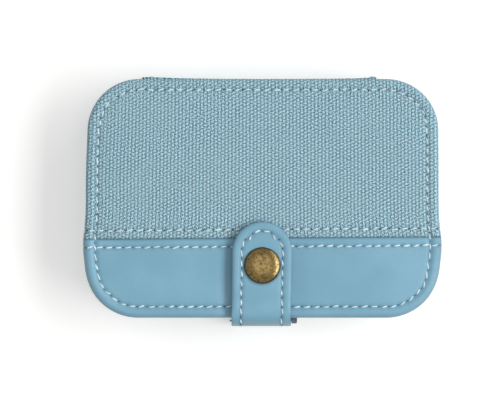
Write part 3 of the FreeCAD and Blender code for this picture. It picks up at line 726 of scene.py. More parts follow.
@dataclass
class Sewing:
    """Rows of thread sewn into a placed sheet, with a dark piece of bobbin thread and painted shade in each
    needle hole; beyond a line the thread is thinner and the hole pieces larger.
    """

    rows: list[StitchRow]
    outward: float = 1.0
    length: float = 2.8
    width: float = 0.65
    flatness: float = 0.8
    sink: float = 0.16
    lift: float = 0.25
    slant: float = 13.0
    # Each hole piece is a dark lens in a needle hole: partly dark bobbin thread, partly painted shade.
    hole: Triple = (0.9, 0.612, 0.3)
    hole_lift: float = 0.12
    thin_beyond: float = math.inf
    thin: float = 0.93
    small_hole: float = 0.78
    uneven: float = 0.13
    uneven_size: Triple = (0.7, 1.0, 0.6)
    uneven_turn: float = 40.0
    seed_number: int = 7

    def scatter(
        self,
        name: str,
        spots: Spots,
        ahead: Spots,
        moves: tuple[Spots, Spots, Spots],
        grain: tuple[Spots, list],
    ) -> Piece:
        """Copies one small shape along the rows, as one mesh.

        Args:
            name: The piece's name.
            spots: The copies' flat spots.
            ahead: The flat directions along the row.
            moves: Each copy's shift and scale along, across and out of the cloth, and its turn in degrees.
            grain: The shape's points and faces.
        Returns:
            The new piece.
        """
        place = self.rows[0].place
        tiny = 0.05

        def step(flat: Spots) -> Spots:
            """Gives how the place changes with a tiny step on the flat sheet."""
            return place(spots + tiny * flat)[0] - place(spots - tiny * flat)[0]

        out = unit(np.cross(step(np.array((1, 0))), step(np.array((0, 1)))) * self.outward)
        along = unit(step(unit(ahead)))
        across = np.cross(out, along)
        shift, scale, turn = moves
        middle = place(spots)[0] + along * shift[:, :1] + across * shift[:, 1:2] + out * shift[:, 2:]
        cosine, sine = np.cos(np.radians(turn))[:, None], np.sin(np.radians(turn))[:, None]
        basis = np.stack((along * cosine + across * sine, across * cosine - along * sine, out), axis=1)
        shape, faces = grain
        points = middle[:, None, :] + np.einsum("gk,nkd->ngd", shape, basis * scale[:, :, None])
        starts = range(0, len(middle) * len(shape), len(shape))
        copies = [[index + start for index in face] for start in starts for face in faces]
        mesh = bpy.data.meshes.new(name)
        mesh.from_pydata((points.reshape(-1, 3) * MM).tolist(), [], copies)
        piece = bpy.data.objects.new(name, mesh)
        bpy.context.scene.collection.objects.link(piece)
        smooth(piece, angle=60.0)
        return piece

    @staticmethod
    def seed(segments: int, rings: int, size: Triple, sink: float = 0.0) -> tuple[Spots, list]:
        """Models one stitch, or the dark piece of bobbin thread and painted shade in a needle hole, as a
        drawn-out ball whose ends sink into the cloth.

        Args:
            segments: Faces round the ball.
            rings: Faces from end to end.
            size: Its length, width and thickness.
            sink: How far its ends drop.
        Returns:
            Its points and faces.
        """
        pick(None)
        bpy.ops.mesh.primitive_uv_sphere_add(segments=segments, ring_count=rings, radius=0.5)
        ball = bpy.context.active_object
        round_points = read_points(ball) * MM
        faces = [list(face.vertices) for face in ball.data.polygons]
        bpy.data.objects.remove(ball)
        points = round_points[:, (2, 0, 1)] * size
        points[:, 2] -= sink * (2 * round_points[:, 2]) ** 2
        return points, faces

    def sew(self, name: str) -> tuple[Piece, Piece]:
        """Sews the rows, and gives the threads and the dark pieces of bobbin thread and painted shade in the
        needle holes.
        """
        chance = np.random.default_rng(self.seed_number)
        middles = np.concatenate([(row.stops[1:] + row.stops[:-1]) / 2 for row in self.rows])
        count = len(middles)
        sway = chance.normal(0, self.uneven, (count, 2))
        thinned = np.where(middles[:, 1] > self.thin_beyond, self.thin, 1.0)
        scale = 1 + chance.normal(0, self.uneven, (count, 3)) * self.uneven_size
        scale *= np.column_stack((thinned ** 0.5, thinned, thinned))
        turn = self.slant * thinned + chance.normal(0, self.uneven_turn * self.uneven, count)
        shift = np.column_stack((sway, np.full(count, self.lift)))
        ahead = np.concatenate([np.diff(row.stops, axis=0) for row in self.rows])
        thread = (self.length, self.width, self.width * self.flatness)
        grain = self.seed(segments=8, rings=6, size=thread, sink=self.sink)
        threads = self.scatter(f"{name}_stitches", middles, ahead, (shift, scale, turn), grain)
        stops = np.concatenate([row.stops[1:-1] for row in self.rows])
        nil = np.zeros(len(stops))
        size = np.where(stops[:, 1] > self.thin_beyond, 1.0, self.small_hole)
        scale = np.column_stack((size, size, nil + 1))
        shift = np.column_stack((nil, nil, nil + self.hole_lift))
        ahead = np.concatenate([np.diff(row.stops, axis=0)[1:] for row in self.rows])
        grain = self.seed(segments=6, rings=4, size=self.hole)
        holes = self.scatter(f"{name}_hole_shade_and_bobbin", stops, ahead, (shift, scale, nil), grain)
        return threads, holes


class Wardrobe:
    """All finishes of the case, by name."""

    # Each has its name, roughness and relief, and then what is its own.
    FINISHES = (
        Woven("canvas", 0.85, 0.25),
        Woven("gusset_canvas", 0.85, 0.25, yarn=(150, 184, 198), gap=(84, 116, 132)),
        Woven("lining", 0.8, 0.1, yarn=(140, 152, 158), gap=(98, 110, 117), warp=0.9, repeat=0.8),
        Woven("zip_tape", 0.85, 0.15, yarn=(84, 100, 112), gap=(46, 58, 68), warp=1.0, repeat=0.7),
        Leather("leather", 0.52, 0.02),
        Leather("strap_leather", 0.5, 0.02, tone=(125, 173, 195), shade=(107, 154, 176)),
        Leather("strap_backing", 0.7, 0.06, tone=(112, 150, 168), shade=(92, 128, 146)),
        Thread("thread", 0.6, 0.08),
        # Dark pieces in the needle holes: partly bobbin thread, partly painted shade.
        Thread("hole_shade_and_bobbin_thread", 0.9, 0.05, tone=(34, 56, 70), shade=(20, 36, 46)),
        Metal("antique_brass", 0.25, 0.02, metallic=1.0, coat=0.3, patches=900.0),
        Metal("plain_brass", 0.35, 0.01, metallic=1.0, bright=(196, 172, 112), dull=(140, 116, 68)),
        Metal("slider_metal", 0.42, 0.02, metallic=0.9, bright=(86, 98, 110), dull=(46, 54, 63)),
        Mottled("zip_teeth", 0.4, 0.01, tone=(76, 88, 100), shade=(52, 62, 72)),
        Ribbed("elastic", 0.85, 0.25),
        Net("pocket_mesh", 0.8, 0.2),
        Mottled("foam", 0.95, 0.15, tone=(210, 205, 190), shade=(180, 174, 158)),
        Mottled("board", 0.9, 0.05),
    )

    def __init__(self) -> None:
        """Builds the shared effects and every material."""
        effects = Effects()
        self.materials = {finish.name: finish.material(effects) for finish in self.FINISHES}

    def dress(self, piece: Piece, finish: str, slot: str | None = None) -> Piece:
        """Gives a piece its finish.

        Args:
            piece: The piece.
            finish: The finish's name.
            slot: The record's slot, where it isn't the finish's name. It is not used.
        Returns:
            The piece.
        """
        piece.data.materials.clear()
        piece.data.materials.append(self.materials[finish])
        LOG.info("%s wears %s", piece.name, finish)
        return piece

    def sew(self, name: str, slot: str, rows: list[StitchRow], **sizes: float) -> tuple[Piece, Piece]:
        """Sews rows of stitches and dresses them.

        Args:
            name: The start of the pieces' names.
            slot: The record's slot of the cloth that is sewn.
            rows: The rows.
            sizes: The sizes of Sewing that differ here.
        Returns:
            The threads and the dark pieces of bobbin thread and painted shade in the needle holes.
        """
        threads, holes = Sewing(rows, **sizes).sew(name)
        return self.dress(threads, "thread", slot), self.dress(holes, "hole_shade_and_bobbin_thread", slot)


# The case


@dataclass(frozen=True)
class CaseForm:
    """The rounded box of the closed case. All but its corner radius is read from the frame."""

    half_size: Spots
    middle_y: float
    height: float
    cover_edge: float
    seam_y: float
    corner: float = 21.5

    @classmethod
    def from_frame(cls) -> "CaseForm":
        """Reads the lid's canvas panel and leather band."""
        canvas_low, canvas_high = node_box("lid_canvas_panel")
        front = node_box("lid_leather_band")[0][1]
        half_size = np.array((canvas_high[0], (canvas_high[1] - front) / 2))
        return cls(half_size, (canvas_high[1] + front) / 2, canvas_high[2], canvas_low[2], canvas_low[1])

    def put(self, half: Half, xy: Spots, height: Spots) -> Spots:
        """Puts points that are drawn on the lid, from the case's middle, on one of the halves."""
        return np.column_stack((xy + (0.0, self.middle_y), half.height(height, self.height)))

    def ring(self, inset: float, arc_steps: int = 24) -> tuple[Spots, Spots, Spots]:
        """Draws the case's outline at an inset, from the middle of the hinge side round to it again.

        Args:
            inset: The distance inside the outline.
            arc_steps: Steps in each corner.
        Returns:
            Points, outward directions, and the length up to each point.
        """
        core = self.half_size - self.corner
        start, outward = [(0.0, core[1])], [(0.0, 1.0)]
        for quarter, signs in enumerate(((1, 1), (1, -1), (-1, -1), (-1, 1))):
            for angle in np.radians(np.linspace(90, 0, arc_steps) - 90 * quarter):
                start.append(core * signs)
                outward.append((math.cos(angle), math.sin(angle)))
        directions = np.array((*outward, outward[0]))
        spots = np.array((*start, start[0])) + (self.corner - inset) * directions
        return spots, directions, lengths(spots)


@dataclass
class PaddedCover:
    """One cover: canvas and leather sewn together, padded, and rolled over the edge."""

    case: CaseForm
    half: Half
    wardrobe: Wardrobe
    step: float = 0.75
    skin: float = 1.2
    edge_radius: float = 2.4
    stitch_inset: Pair = (4.3, 4.7)
    seam_stitch: float = 3.6
    seam_slope: float = 0.007
    seam_end: float = 0.6
    seam_cuts: tuple[float, ...] = (-1.5, -0.9, -0.4, 0.4, 0.9, 1.5)
    top_run: Pair = (3.0, 8.0)
    roll: float = 0.55
    crown: float = 0.75
    crown_run: float = 7.0
    long_wave: float = 0.08
    short_wave: float = 0.05
    wave_run: Pair = (2.0, 8.0)
    press: float = 0.4
    press_sides: Pair = (12.5, 20.5)
    press_end: Pair = (2.0, 12.0)
    groove: float = 0.42
    groove_width: float = 0.8
    groove_on_side: float = 0.4
    groove_shade: float = 0.12
    pit: float = 0.3
    pit_width: float = 0.9
    pit_shade: float = 0.25
    pit_shade_width: float = 0.7
    fold: float = 0.55
    fold_width: float = 0.65
    fold_shade: float = 0.75
    fold_shade_width: float = 0.36
    taper: Pair = (0.9, 0.2)
    taper_run: Pair = (6.0, 40.0)
    flare: float = 1.2
    flare_shift: float = 3.3
    flare_width: float = 9.0
    side_swell: Pair = (1.4, 0.1)
    tail_half_width: float = 12.9
    tail_end: float = -18.4
    tail_recess: float = 1.3
    tail_slope: float = 0.6
    # Painted highlight on the rolled edge, then painted shade on the leather's outer rim and how far in it
    # reaches.
    rim_highlight: float = 0.28
    rim_shade: float = 0.25
    rim_shade_run: float = 4.8

    def __post_init__(self) -> None:
        """Works out the flat cut of the cover and lays out its stitch rows, which then press grooves."""
        self.wall = self.case.height - self.case.cover_edge - self.edge_radius
        self.arc = QUARTER_TURN * self.edge_radius
        self.overhang = self.wall + self.arc - self.edge_radius
        self.flat_half = self.case.half_size + self.overhang
        self.seam = self.case.seam_y - self.case.middle_y
        self.stitch_line = self.overhang + sum(self.stitch_inset) / 2
        self.row_marks: Spots | None = None
        self.rows = self.stitch_rows()
        self.hole_marks = np.concatenate([row.stops for row in self.rows])
        self.row_marks = np.concatenate([row.line for row in self.rows])

    def stitch_rows(self) -> list[StitchRow]:
        """Draws the row inside the edge and the two rows beside the seam."""
        x, y = self.flat_half - self.overhang - np.array(self.stitch_inset)
        lines = [joined_lines((-x, y), (x, y), (x, -y), (-x, -y), (-x, y))]
        end = self.flat_half[0] - self.wall * self.seam_end
        for offset in (self.seam_stitch, -self.seam_stitch):
            middle, slant = self.seam + offset, self.seam_slope * end
            lines.append(joined_lines((-end, middle - slant), (end, middle + slant)))
        return [StitchRow(line, self.place) for line in lines]

    def to_seam(self, flat: Spots) -> Spots:
        """Gives how far beyond the seam, towards the hinge, each flat spot lies."""
        return flat[:, 1] - self.seam - self.seam_slope * flat[:, 0]

    def inset(self, flat: Spots) -> Spots:
        """Gives how far each flat spot lies inside the flat cut's rim."""
        return (self.flat_half - np.abs(flat)).min(axis=1)

    def swell(self, flat: Spots) -> Spots:
        """Gives how far the padded cover stands off its plain form at flat spots."""
        x, y = flat.T
        inset = self.inset(flat)
        on_top = rise(inset, *self.top_run)
        rolled = self.roll * hump(np.clip(inset / self.stitch_line, 0, 1))
        domed = self.crown * (1 - np.exp(-np.maximum(inset - self.stitch_line, 0) / self.crown_run))
        folded = self.fold * bump(self.to_seam(flat), self.fold_width) * on_top
        waves = self.long_wave * np.sin(x / 15 + 1.0) * np.sin(y / 11 + 0.4)
        waves += self.short_wave * np.sin(x / 6.3 - y / 8.1)
        swell = rolled + domed - folded + waves * rise(inset, *self.wave_run)
        if self.row_marks is not None:
            strength = self.groove_on_side + (1 - self.groove_on_side) * on_top
            swell -= self.groove * bump(nearest(flat, self.row_marks), self.groove_width) * strength
            swell -= self.pit * bump(nearest(flat, self.hole_marks), self.pit_width) * strength
        if self.half is Half.LID:
            under_strap = (1 - rise(np.abs(x), *self.press_sides)) * rise(-y, *self.press_end)
            return swell - self.press * under_strap * on_top
        in_tail = rise(self.tail_half_width - np.abs(x), -self.tail_slope, 0.0)
        in_tail *= rise(self.tail_end - y - self.case.middle_y, -self.tail_slope, 0.0)
        return np.where(in_tail > 0.01, np.minimum(swell, -self.tail_recess * in_tail), swell)

    def depth(self, flat: Spots) -> Spots:
        """Gives the painted shade of each flat spot: in the seam, in rows of stitches and round needle
        holes, and on the leather's outer rim.
        """
        # Painted shade in the seam, then in stitch rows and round needle holes.
        seam = self.fold_shade * bump(self.to_seam(flat), self.fold_shade_width)
        rows = self.groove_shade * bump(nearest(flat, self.row_marks), self.groove_width)
        holes = self.pit_shade * bump(nearest(flat, self.hole_marks), self.pit_shade_width)
        # Painted shade on the leather's outer rim, where its edge rolls away.
        rim = 1 - rise(self.inset(flat), self.wall - 0.5, self.wall + self.rim_shade_run)
        return np.maximum(seam, rows + holes) + self.rim_shade * rim * (self.to_seam(flat) < 0)

    def painted_highlight(self, flat: Spots) -> Spots:
        """Gives how pale each flat spot is painted as highlight, which is most on the rolled edge."""
        return self.rim_highlight * (1 - rise(self.inset(flat), self.wall, self.wall + self.arc))

    def place(self, flat: Spots) -> Placed:
        """Rolls flat spots over the cover's edge.

        Args:
            flat: Flat spots.
        Returns:
            Their places and their spots on the cloth map.
        """
        inset, start, outward, reach = ring_map(flat, self.flat_half, self.case.corner + self.overhang)
        angle = np.clip((inset - self.wall) / self.edge_radius, 0, QUARTER_TURN)
        swell = self.swell(flat)
        sideways = swell * np.cos(angle) * (outward ** 2 @ np.array(self.side_swell))
        run_in = np.maximum(inset - self.wall - self.arc, 0)
        indent = self.edge_radius * (1 - np.cos(angle)) + run_in - sideways
        spots = start + outward * (self.case.corner - indent)[:, None]
        lift = self.edge_radius * (np.sin(angle) - 1) - np.maximum(self.wall - inset, 0)
        height = self.case.height + lift + swell * np.sin(angle)
        if self.half is Half.BASE:
            height = np.minimum(height, self.case.height)
        flare = self.flare * bump(spots[:, 1] - self.seam + self.flare_shift, self.flare_width)
        narrowing = np.where(spots[:, 0] < 0, *self.taper) * rise(spots[:, 1], *self.taper_run)
        spots[:, 0] *= 1 + (flare - narrowing) / self.case.half_size[0]
        return self.case.put(self.half, spots, height), start + outward * reach[:, None]

    def panel(self, name: str, drop: Drop, finish: str, node: str) -> None:
        """Makes the canvas panel or the leather band.

        Args:
            name: The piece's name.
            drop: Which side of the seam is cut away.
            finish: Its finish.
            node: The frame's node that it stands for.
        """
        sheet = flat_grid(name, -self.flat_half, self.flat_half, self.step)
        for offset in (*self.seam_cuts, 0.0):
            edit(
                sheet,
                bpy.ops.mesh.bisect,
                plane_co=Vector((0.0, self.seam + offset, 0.0)) * MM,
                plane_no=(-self.seam_slope, 1.0, 0.0),
                clear_outer=offset == 0 and drop is Drop.AHEAD,
                clear_inner=offset == 0 and drop is Drop.BEHIND,
            )
        # Painted shade and painted highlight, stored with the sheet for its finish.
        marks = {PAINTED_SHADE_AND_DYE_MARK: self.depth, PAINTED_HIGHLIGHT_MARK: self.painted_highlight}
        tailor(sheet, self.place, self.skin, turned_over=self.half is Half.BASE, marks=marks)
        self.wardrobe.dress(sheet, finish)
        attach(sheet, self.half.value)
        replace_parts(sheet, node)

    def build(self) -> None:
        """Makes both panels and sews them."""
        half = self.half.value
        self.panel(f"{half}_canvas", Drop.BEHIND, "canvas", f"{half}_canvas_panel")
        self.panel(f"{half}_leather", Drop.AHEAD, "leather", f"{half}_leather_band")
        sizes = {"outward": self.half.up, "thin_beyond": self.seam}
        for piece in self.wardrobe.sew(f"{half}_cover", "canvas", self.rows, **sizes):
            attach(piece, half)


@dataclass
class Strap:
    """The snap strap: it comes from the back cover, up the front edge and over the front cover."""

    wardrobe: Wardrobe
    half_width: float = 12.5
    layer: float = 1.2
    bend: float = 4.2
    tail_start: float = -19.0
    bend_y: float = -49.0
    low_bend_z: float = 5.4
    high_bend_z: float = 33.6
    tip_y: float = -8.3
    step: float = 0.5
    stitch_inset: float = 3.9
    pull_in: float = 1.9
    pull_run: Pair = (4.0, 24.0)
    pull_end: float = 10.0
    sag: float = 1.2
    sag_run: float = 10.0
    sag_heights: Pair = (24.0, 36.0)
    lean: float = -0.5
    roll: float = 0.16
    edge_drop: float = 0.45
    edge_width: float = 0.6
    tightness: float = 0.8
    tight_start: float = 4.0
    tight_end: Pair = (-1.0, 5.0)
    split_z: float = 19.0
    lining_start_z: float = 9.5
    groove: float = 0.28
    groove_width: float = 1.0
    groove_shade: float = 0.2
    pit: float = 0.15
    pit_width: float = 0.9
    pit_shade: float = 0.3
    shade_width: float = 0.8
    # Painted shade round the snap cap and at the upper bend.
    cap_shade: float = 0.8
    cap_shade_width: float = 0.55
    bend_shade: float = 0.15
    bend_shade_run: float = 2.6
    # Painted highlight on the outside of the upper bend.
    bend_highlight: float = 0.5
    bend_highlight_start: Pair = (-9.0, 1.0)
    bend_highlight_end: Pair = (-4.6, -1.8)
    # Dark strap edges: edge dye, and painted shade standing in for the narrow shadow line beside the strap.
    edge_dye_and_shade: float = 0.5
    edge_dye_and_shade_width: float = 0.35

    def __post_init__(self) -> None:
        """Works out the lengths along the strap and lays out its stitch rows, which then press grooves."""
        arc = QUARTER_TURN * self.bend
        riser = self.high_bend_z - self.low_bend_z
        self.ends = np.cumsum((self.tail_start - self.bend_y, arc, riser, arc, self.tip_y - self.bend_y))
        self.length = self.ends[-1]
        self.split = self.ends[1] + self.split_z - self.low_bend_z
        self.lining_start = self.ends[1] + self.lining_start_z - self.low_bend_z
        cap_low, cap_high = node_box("snap_cap")
        self.cap_radius = (cap_high[0] - cap_low[0]) / 2
        self.cap_along = self.ends[3] + (cap_low[1] + cap_high[1]) / 2 - self.bend_y
        self.row_marks: Spots | None = None
        side, low = self.half_width - self.stitch_inset, self.stitch_inset
        top, split = self.length - self.stitch_inset, self.split
        low_lines = [joined_lines((x, low), (x, split)) for x in (-side, side)]
        low_lines.append(joined_lines((-side, low), (side, low)))
        high_line = joined_lines((-side, split), (-side, top), (side, top), (side, split))
        self.low_rows = [StitchRow(line, self.place) for line in low_lines]
        self.high_rows = [StitchRow(high_line, self.place)]
        rows = (*self.low_rows, *self.high_rows)
        self.hole_marks = np.concatenate([row.stops for row in rows])
        self.row_marks = np.concatenate([row.line for row in rows])

    def route(self, along: Spots) -> tuple[Spots, Spots]:
        """Follows the face between the strap's layers.

        Args:
            along: Lengths from the tail's end.
        Returns:
            Points and outward directions, each as Y and Z.
        """
        tail, low, riser, high, _ = self.ends
        low_angle = np.clip((along - tail) / self.bend, 0, QUARTER_TURN)
        high_angle = np.clip((along - riser) / self.bend, 0, QUARTER_TURN)
        below = (along < low)[:, None]
        under = -np.column_stack((np.sin(low_angle), np.cos(low_angle)))
        over = np.column_stack((-np.cos(high_angle), np.sin(high_angle)))
        outward = np.where(below, under, over)
        ahead = np.maximum(along - high, 0) + np.maximum(tail - along, 0)
        climb = np.clip(along - low, 0, riser - low)
        spots = np.column_stack((self.bend_y + ahead, self.low_bend_z + climb)) + self.bend * outward
        upright = rise(spots[:, 1], *self.pull_run) * (1 - rise(along - high, 0.0, self.pull_end))
        spots[:, 0] += self.pull_in * upright
        beyond_cap = np.abs(along - self.cap_along) - self.cap_radius
        on_top = rise(spots[:, 1], *self.sag_heights)
        spots[:, 1] -= self.sag * rise(beyond_cap, 0.0, self.sag_run) * on_top
        return spots, outward

    def place(self, flat: Spots) -> Placed:
        """Places flat spots on the outer leather's top."""
        return self.layered(flat, self.layer)

    def layered(self, flat: Spots, height: float) -> Placed:
        """Rounds the strap's tip and bends the strap along its route.

        Args:
            flat: Flat spots: across the strap, and along it from the tail's end.
            height: The height above the face between the layers.
        Returns:
            Their places and their spots on the cloth map.
        """
        pivot = self.length - 3 * self.half_width
        ahead = np.maximum(flat[:, 1] - pivot, 0)
        behind = np.minimum(flat[:, 1] - pivot, 0)
        half = (self.half_width, self.length - pivot)
        inset, start, outward, reach = ring_map(np.column_stack((flat[:, 0], ahead)), half, self.half_width)
        cloth = start + outward * reach[:, None]
        cloth[:, 1] += behind + pivot
        swell = np.full(len(flat), height)
        if self.row_marks is not None and height > 0:
            calm = 1 - self.tightness * self.bent(flat)
            rolled = self.roll * hump(np.clip(inset / self.stitch_inset, 0, 1))
            swell += (rolled - self.edge_drop * bump(inset, self.edge_width)) * calm
            swell -= self.groove * bump(nearest(flat, self.row_marks), self.groove_width) * calm
            swell -= self.pit * bump(nearest(flat, self.hole_marks), self.pit_width)
        spots, out = self.route(cloth[:, 1])
        aside = self.lean * (1 - rise(cloth[:, 1], self.ends[2], self.length))
        return np.column_stack((cloth[:, 0] + aside, spots + out * swell[:, None])), cloth

    def bent(self, flat: Spots) -> Spots:
        """Gives 1 on the riser and its bends, where the leather is drawn tight, and 0 beyond them."""
        tail, _, _, high, _ = self.ends
        return rise(flat[:, 1] - tail, -self.tight_start, 0.0) - rise(flat[:, 1] - high, *self.tight_end)

    def depth(self, flat: Spots) -> Spots:
        """Gives how dark each flat spot is: painted shade in stitch rows, round the cap and at the bend, and
        edge dye with painted shade on the edge.
        """
        along = flat[:, 1]
        rows = self.groove_shade * bump(nearest(flat, self.row_marks), self.shade_width)
        holes = self.pit_shade * bump(nearest(flat, self.hole_marks), self.shade_width)
        from_cap = np.hypot(flat[:, 0], along - self.cap_along) - self.cap_radius
        from_bend = along - self.ends[3] + self.bend_shade_run
        inset = np.minimum(self.half_width - np.abs(flat[:, 0]), self.length - along)
        # Dark edge: edge dye and painted shade.
        edge = self.edge_dye_and_shade * bump(inset, self.edge_dye_and_shade_width)
        bend = self.bend_shade * bump(from_bend, self.bend_shade_run)
        # Painted shade round the cap.
        rim = self.cap_shade * bump(from_cap, self.cap_shade_width)
        return rows + holes + rim + bend + edge

    def painted_highlight(self, flat: Spots) -> Spots:
        """Gives the painted highlight of each flat spot, on the outside of the upper bend."""
        _, _, riser, high, _ = self.ends
        # The share of painted highlight on the upper bend.
        rubbed = rise(flat[:, 1] - riser, *self.bend_highlight_start) - rise(flat[:, 1] - high, *self.bend_highlight_end)
        return self.bend_highlight * rubbed

    def leather(self, name: str, low: float, high: float, finish: str, height: float) -> Piece:
        """Makes a length of the outer leather or of the lining.

        Args:
            name: The piece's name.
            low: Where it starts along the strap.
            high: Where it ends.
            finish: Its finish.
            height: The height of its outer face above the face between the layers.
        Returns:
            The new piece.
        """
        sheet = flat_grid(name, (-self.half_width, low), (self.half_width, high), self.step)
        # Painted shade and painted highlight, stored with the sheet for its finish.
        marks = {PAINTED_SHADE_AND_DYE_MARK: self.depth, PAINTED_HIGHLIGHT_MARK: self.painted_highlight}
        tailor(sheet, lambda flat: self.layered(flat, height), self.layer, marks=marks)
        return self.wardrobe.dress(sheet, finish)

    def join_low(self, piece: Piece) -> None:
        """Bakes the transform of a piece between the back cover and the riser into its points."""
        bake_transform(piece)

    def join_high(self, piece: Piece) -> None:
        """Bakes the transform of a piece between the riser and the flap into its points."""
        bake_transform(piece)

    def build(self) -> None:
        """Makes the strap's leather, lining and stitching."""
        lower = self.leather("strap_lower", 0.0, self.split, "strap_leather", self.layer)
        upper = self.leather("strap_upper", self.split, self.length, "strap_leather", self.layer)
        lining = self.leather("strap_inner", self.lining_start, self.length, "strap_backing", 0.0)
        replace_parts(lower, "strap_tail")
        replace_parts(upper, "strap_riser_outer", "strap_flap_outer")
        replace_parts(lining, "strap_riser_lining", "strap_flap_lining")
        sizes = {"length": 2.5, "width": 0.58}
        low_threads = self.wardrobe.sew("strap_lower", "strap_leather", self.low_rows, **sizes)
        high_threads = self.wardrobe.sew("strap_upper", "strap_leather", self.high_rows, **sizes)
        for piece in (lower, *low_threads):
            self.join_low(piece)
        for piece in (upper, lining, *high_threads):
            self.join_high(piece)


@dataclass
class Walls:
    """The cloth of one half behind its cover: gusset, zip tape, lining tray and foam pad."""

    case: CaseForm
    half: Half
    wardrobe: Wardrobe
    step: float = 1.0
    gusset: float = 1.2
    gusset_bulge: float = 0.25
    gusset_seam: float = 1.6
    tape: float = 0.8
    tape_start: float = 48.7
    tongue: float = 3.4
    tray_cloth: float = 0.7
    tray_inset: float = 3.3
    tray_fillet: float = 2.2
    tray_step: float = 1.4
    tray_wave: float = 0.12
    tray_wave_run: float = 12.0
    pad_ease: float = 0.5
    pad_rim: float = 1.5
    pad_step: float = 4.0

    def measure(self, piece: str) -> Triple:
        """Gives the inset of one of the half's nodes, and its two ends in height as drawn on the lid."""
        low, high = node_box(f"{self.half.value}_{piece}")
        start, end = sorted(self.half.height(corner[2], self.case.height) for corner in (low, high))
        return self.case.half_size[0] - high[0], start, end

    def band(
        self, name: str, node: str, cloth: float, bulge: float = 0.0, gap: float = 0.0
    ) -> tuple[Piece, Placement]:
        """Makes a strip of cloth that runs round the case.

        Args:
            name: The piece's name.
            node: The half's node that it stands for.
            cloth: Its thickness.
            bulge: How far its middle stands out.
            gap: Half the width that is left open at the hinge. The ends there widen to the parting plane.
        Returns:
            The new piece, and how flat spots on it are placed.
        """
        inset, low, high = self.measure(node)
        spots, outward, length = self.case.ring(inset)
        to_middle = low - self.case.height / 2 if gap else 0.0

        def place(flat: Spots) -> Placed:
            """Runs flat spots round the outline."""
            along = flat[:, 0]
            share = np.clip((flat[:, 1] - low) / (high - low), 0, 1)
            belly = bulge * np.sin(math.pi * share)
            xy = point_at(along, length, spots) + point_at(along, length, outward) * belly[:, None]
            from_end = np.minimum(along, length[-1] - along) - gap
            widened = to_middle * (1 - share) * (1 - rise(from_end, self.tongue - 1.0, self.tongue))
            return self.case.put(self.half, xy, flat[:, 1] - widened), flat

        sheet = flat_grid(name, (gap, low), (length[-1] - gap, high), self.step)
        return tailor(sheet, place, cloth, turned_over=self.half is Half.LID, closed=not gap), place

    def build(self) -> None:
        """Makes the walls and sews the gusset to the tape."""
        half = self.half.value
        gusset, place = self.band(f"{half}_side_wall", "gusset", self.gusset, self.gusset_bulge)
        self.wardrobe.dress(gusset, "gusset_canvas")
        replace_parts(gusset, f"{half}_gusset")
        inset, low, _ = self.measure("gusset")
        seam = low + self.gusset_seam
        line = joined_lines((0.0, seam), (self.case.ring(inset)[2][-1], seam))
        sizes = {"outward": -self.half.up, "length": 2.5, "width": 0.55, "lift": 0.05}
        rows = [StitchRow(line, place, pitch=3.6)]
        threads = self.wardrobe.sew(f"{half}_side", "gusset_canvas", rows, **sizes)
        tape, _ = self.band(f"{half}_tape", "zip_tape", self.tape, gap=self.tape_start)
        self.wardrobe.dress(tape, "zip_tape")
        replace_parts(tape, f"{half}_zip_tape")
        for piece in (gusset, tape, *threads, self.tray(), self.pad()):
            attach(piece, half)

    def tray(self) -> Piece:
        """Makes the lining: a floor with a rounded foot and a wall all round."""
        half, fillet = self.half.value, self.tray_fillet
        _, low, _ = self.measure("lining")
        wall = self.case.cover_edge - low - fillet
        arc = QUARTER_TURN * fillet
        overhang = wall + arc - fillet - self.tray_inset
        flat_half = self.case.half_size + overhang

        def place(flat: Spots) -> Placed:
            """Folds flat spots up the tray's wall."""
            inset, start, outward, reach = ring_map(flat, flat_half, self.case.corner + overhang)
            angle = np.clip((inset - wall) / fillet, 0, QUARTER_TURN)
            indent = self.tray_inset + fillet * (1 - np.cos(angle)) + np.maximum(inset - wall - arc, 0)
            wave = self.tray_wave * np.sin(flat[:, 0] / 9 + 0.6) * np.sin(flat[:, 1] / 7)
            wave *= rise(inset - wall, 0.0, self.tray_wave_run)
            height = low + np.minimum(inset, wall) + fillet * np.sin(angle) - np.abs(wave)
            spots = start + outward * (self.case.corner - indent)[:, None]
            return self.case.put(self.half, spots, height), start + outward * reach[:, None]

        sheet = flat_grid(f"{half}_lining_tray", -flat_half, flat_half, self.tray_step)
        tailor(sheet, place, self.tray_cloth, turned_over=self.half is Half.LID)
        self.wardrobe.dress(sheet, "lining")
        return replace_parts(sheet, f"{half}_lining")

    def pad(self) -> Piece:
        """Makes the foam pad that lies hidden in the cover."""
        half = self.half.value
        inset, low, high = self.measure("foam_pad")
        flat_half = self.case.half_size - inset

        def place(flat: Spots) -> Placed:
            """Rounds the pad's corners and eases its rim."""
            depth, start, outward, reach = ring_map(flat, flat_half, self.case.corner - inset)
            height = high - self.pad_ease * bump(depth, self.pad_rim)
            return self.case.put(self.half, start + outward * reach[:, None], height), flat

        sheet = flat_grid(f"{half}_foam", -flat_half, flat_half, self.pad_step)
        tailor(sheet, place, high - low - self.pad_ease, turned_over=self.half is Half.BASE)
        self.wardrobe.dress(sheet, "foam")
        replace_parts(sheet, f"{half}_foam_pad")
        return sheet


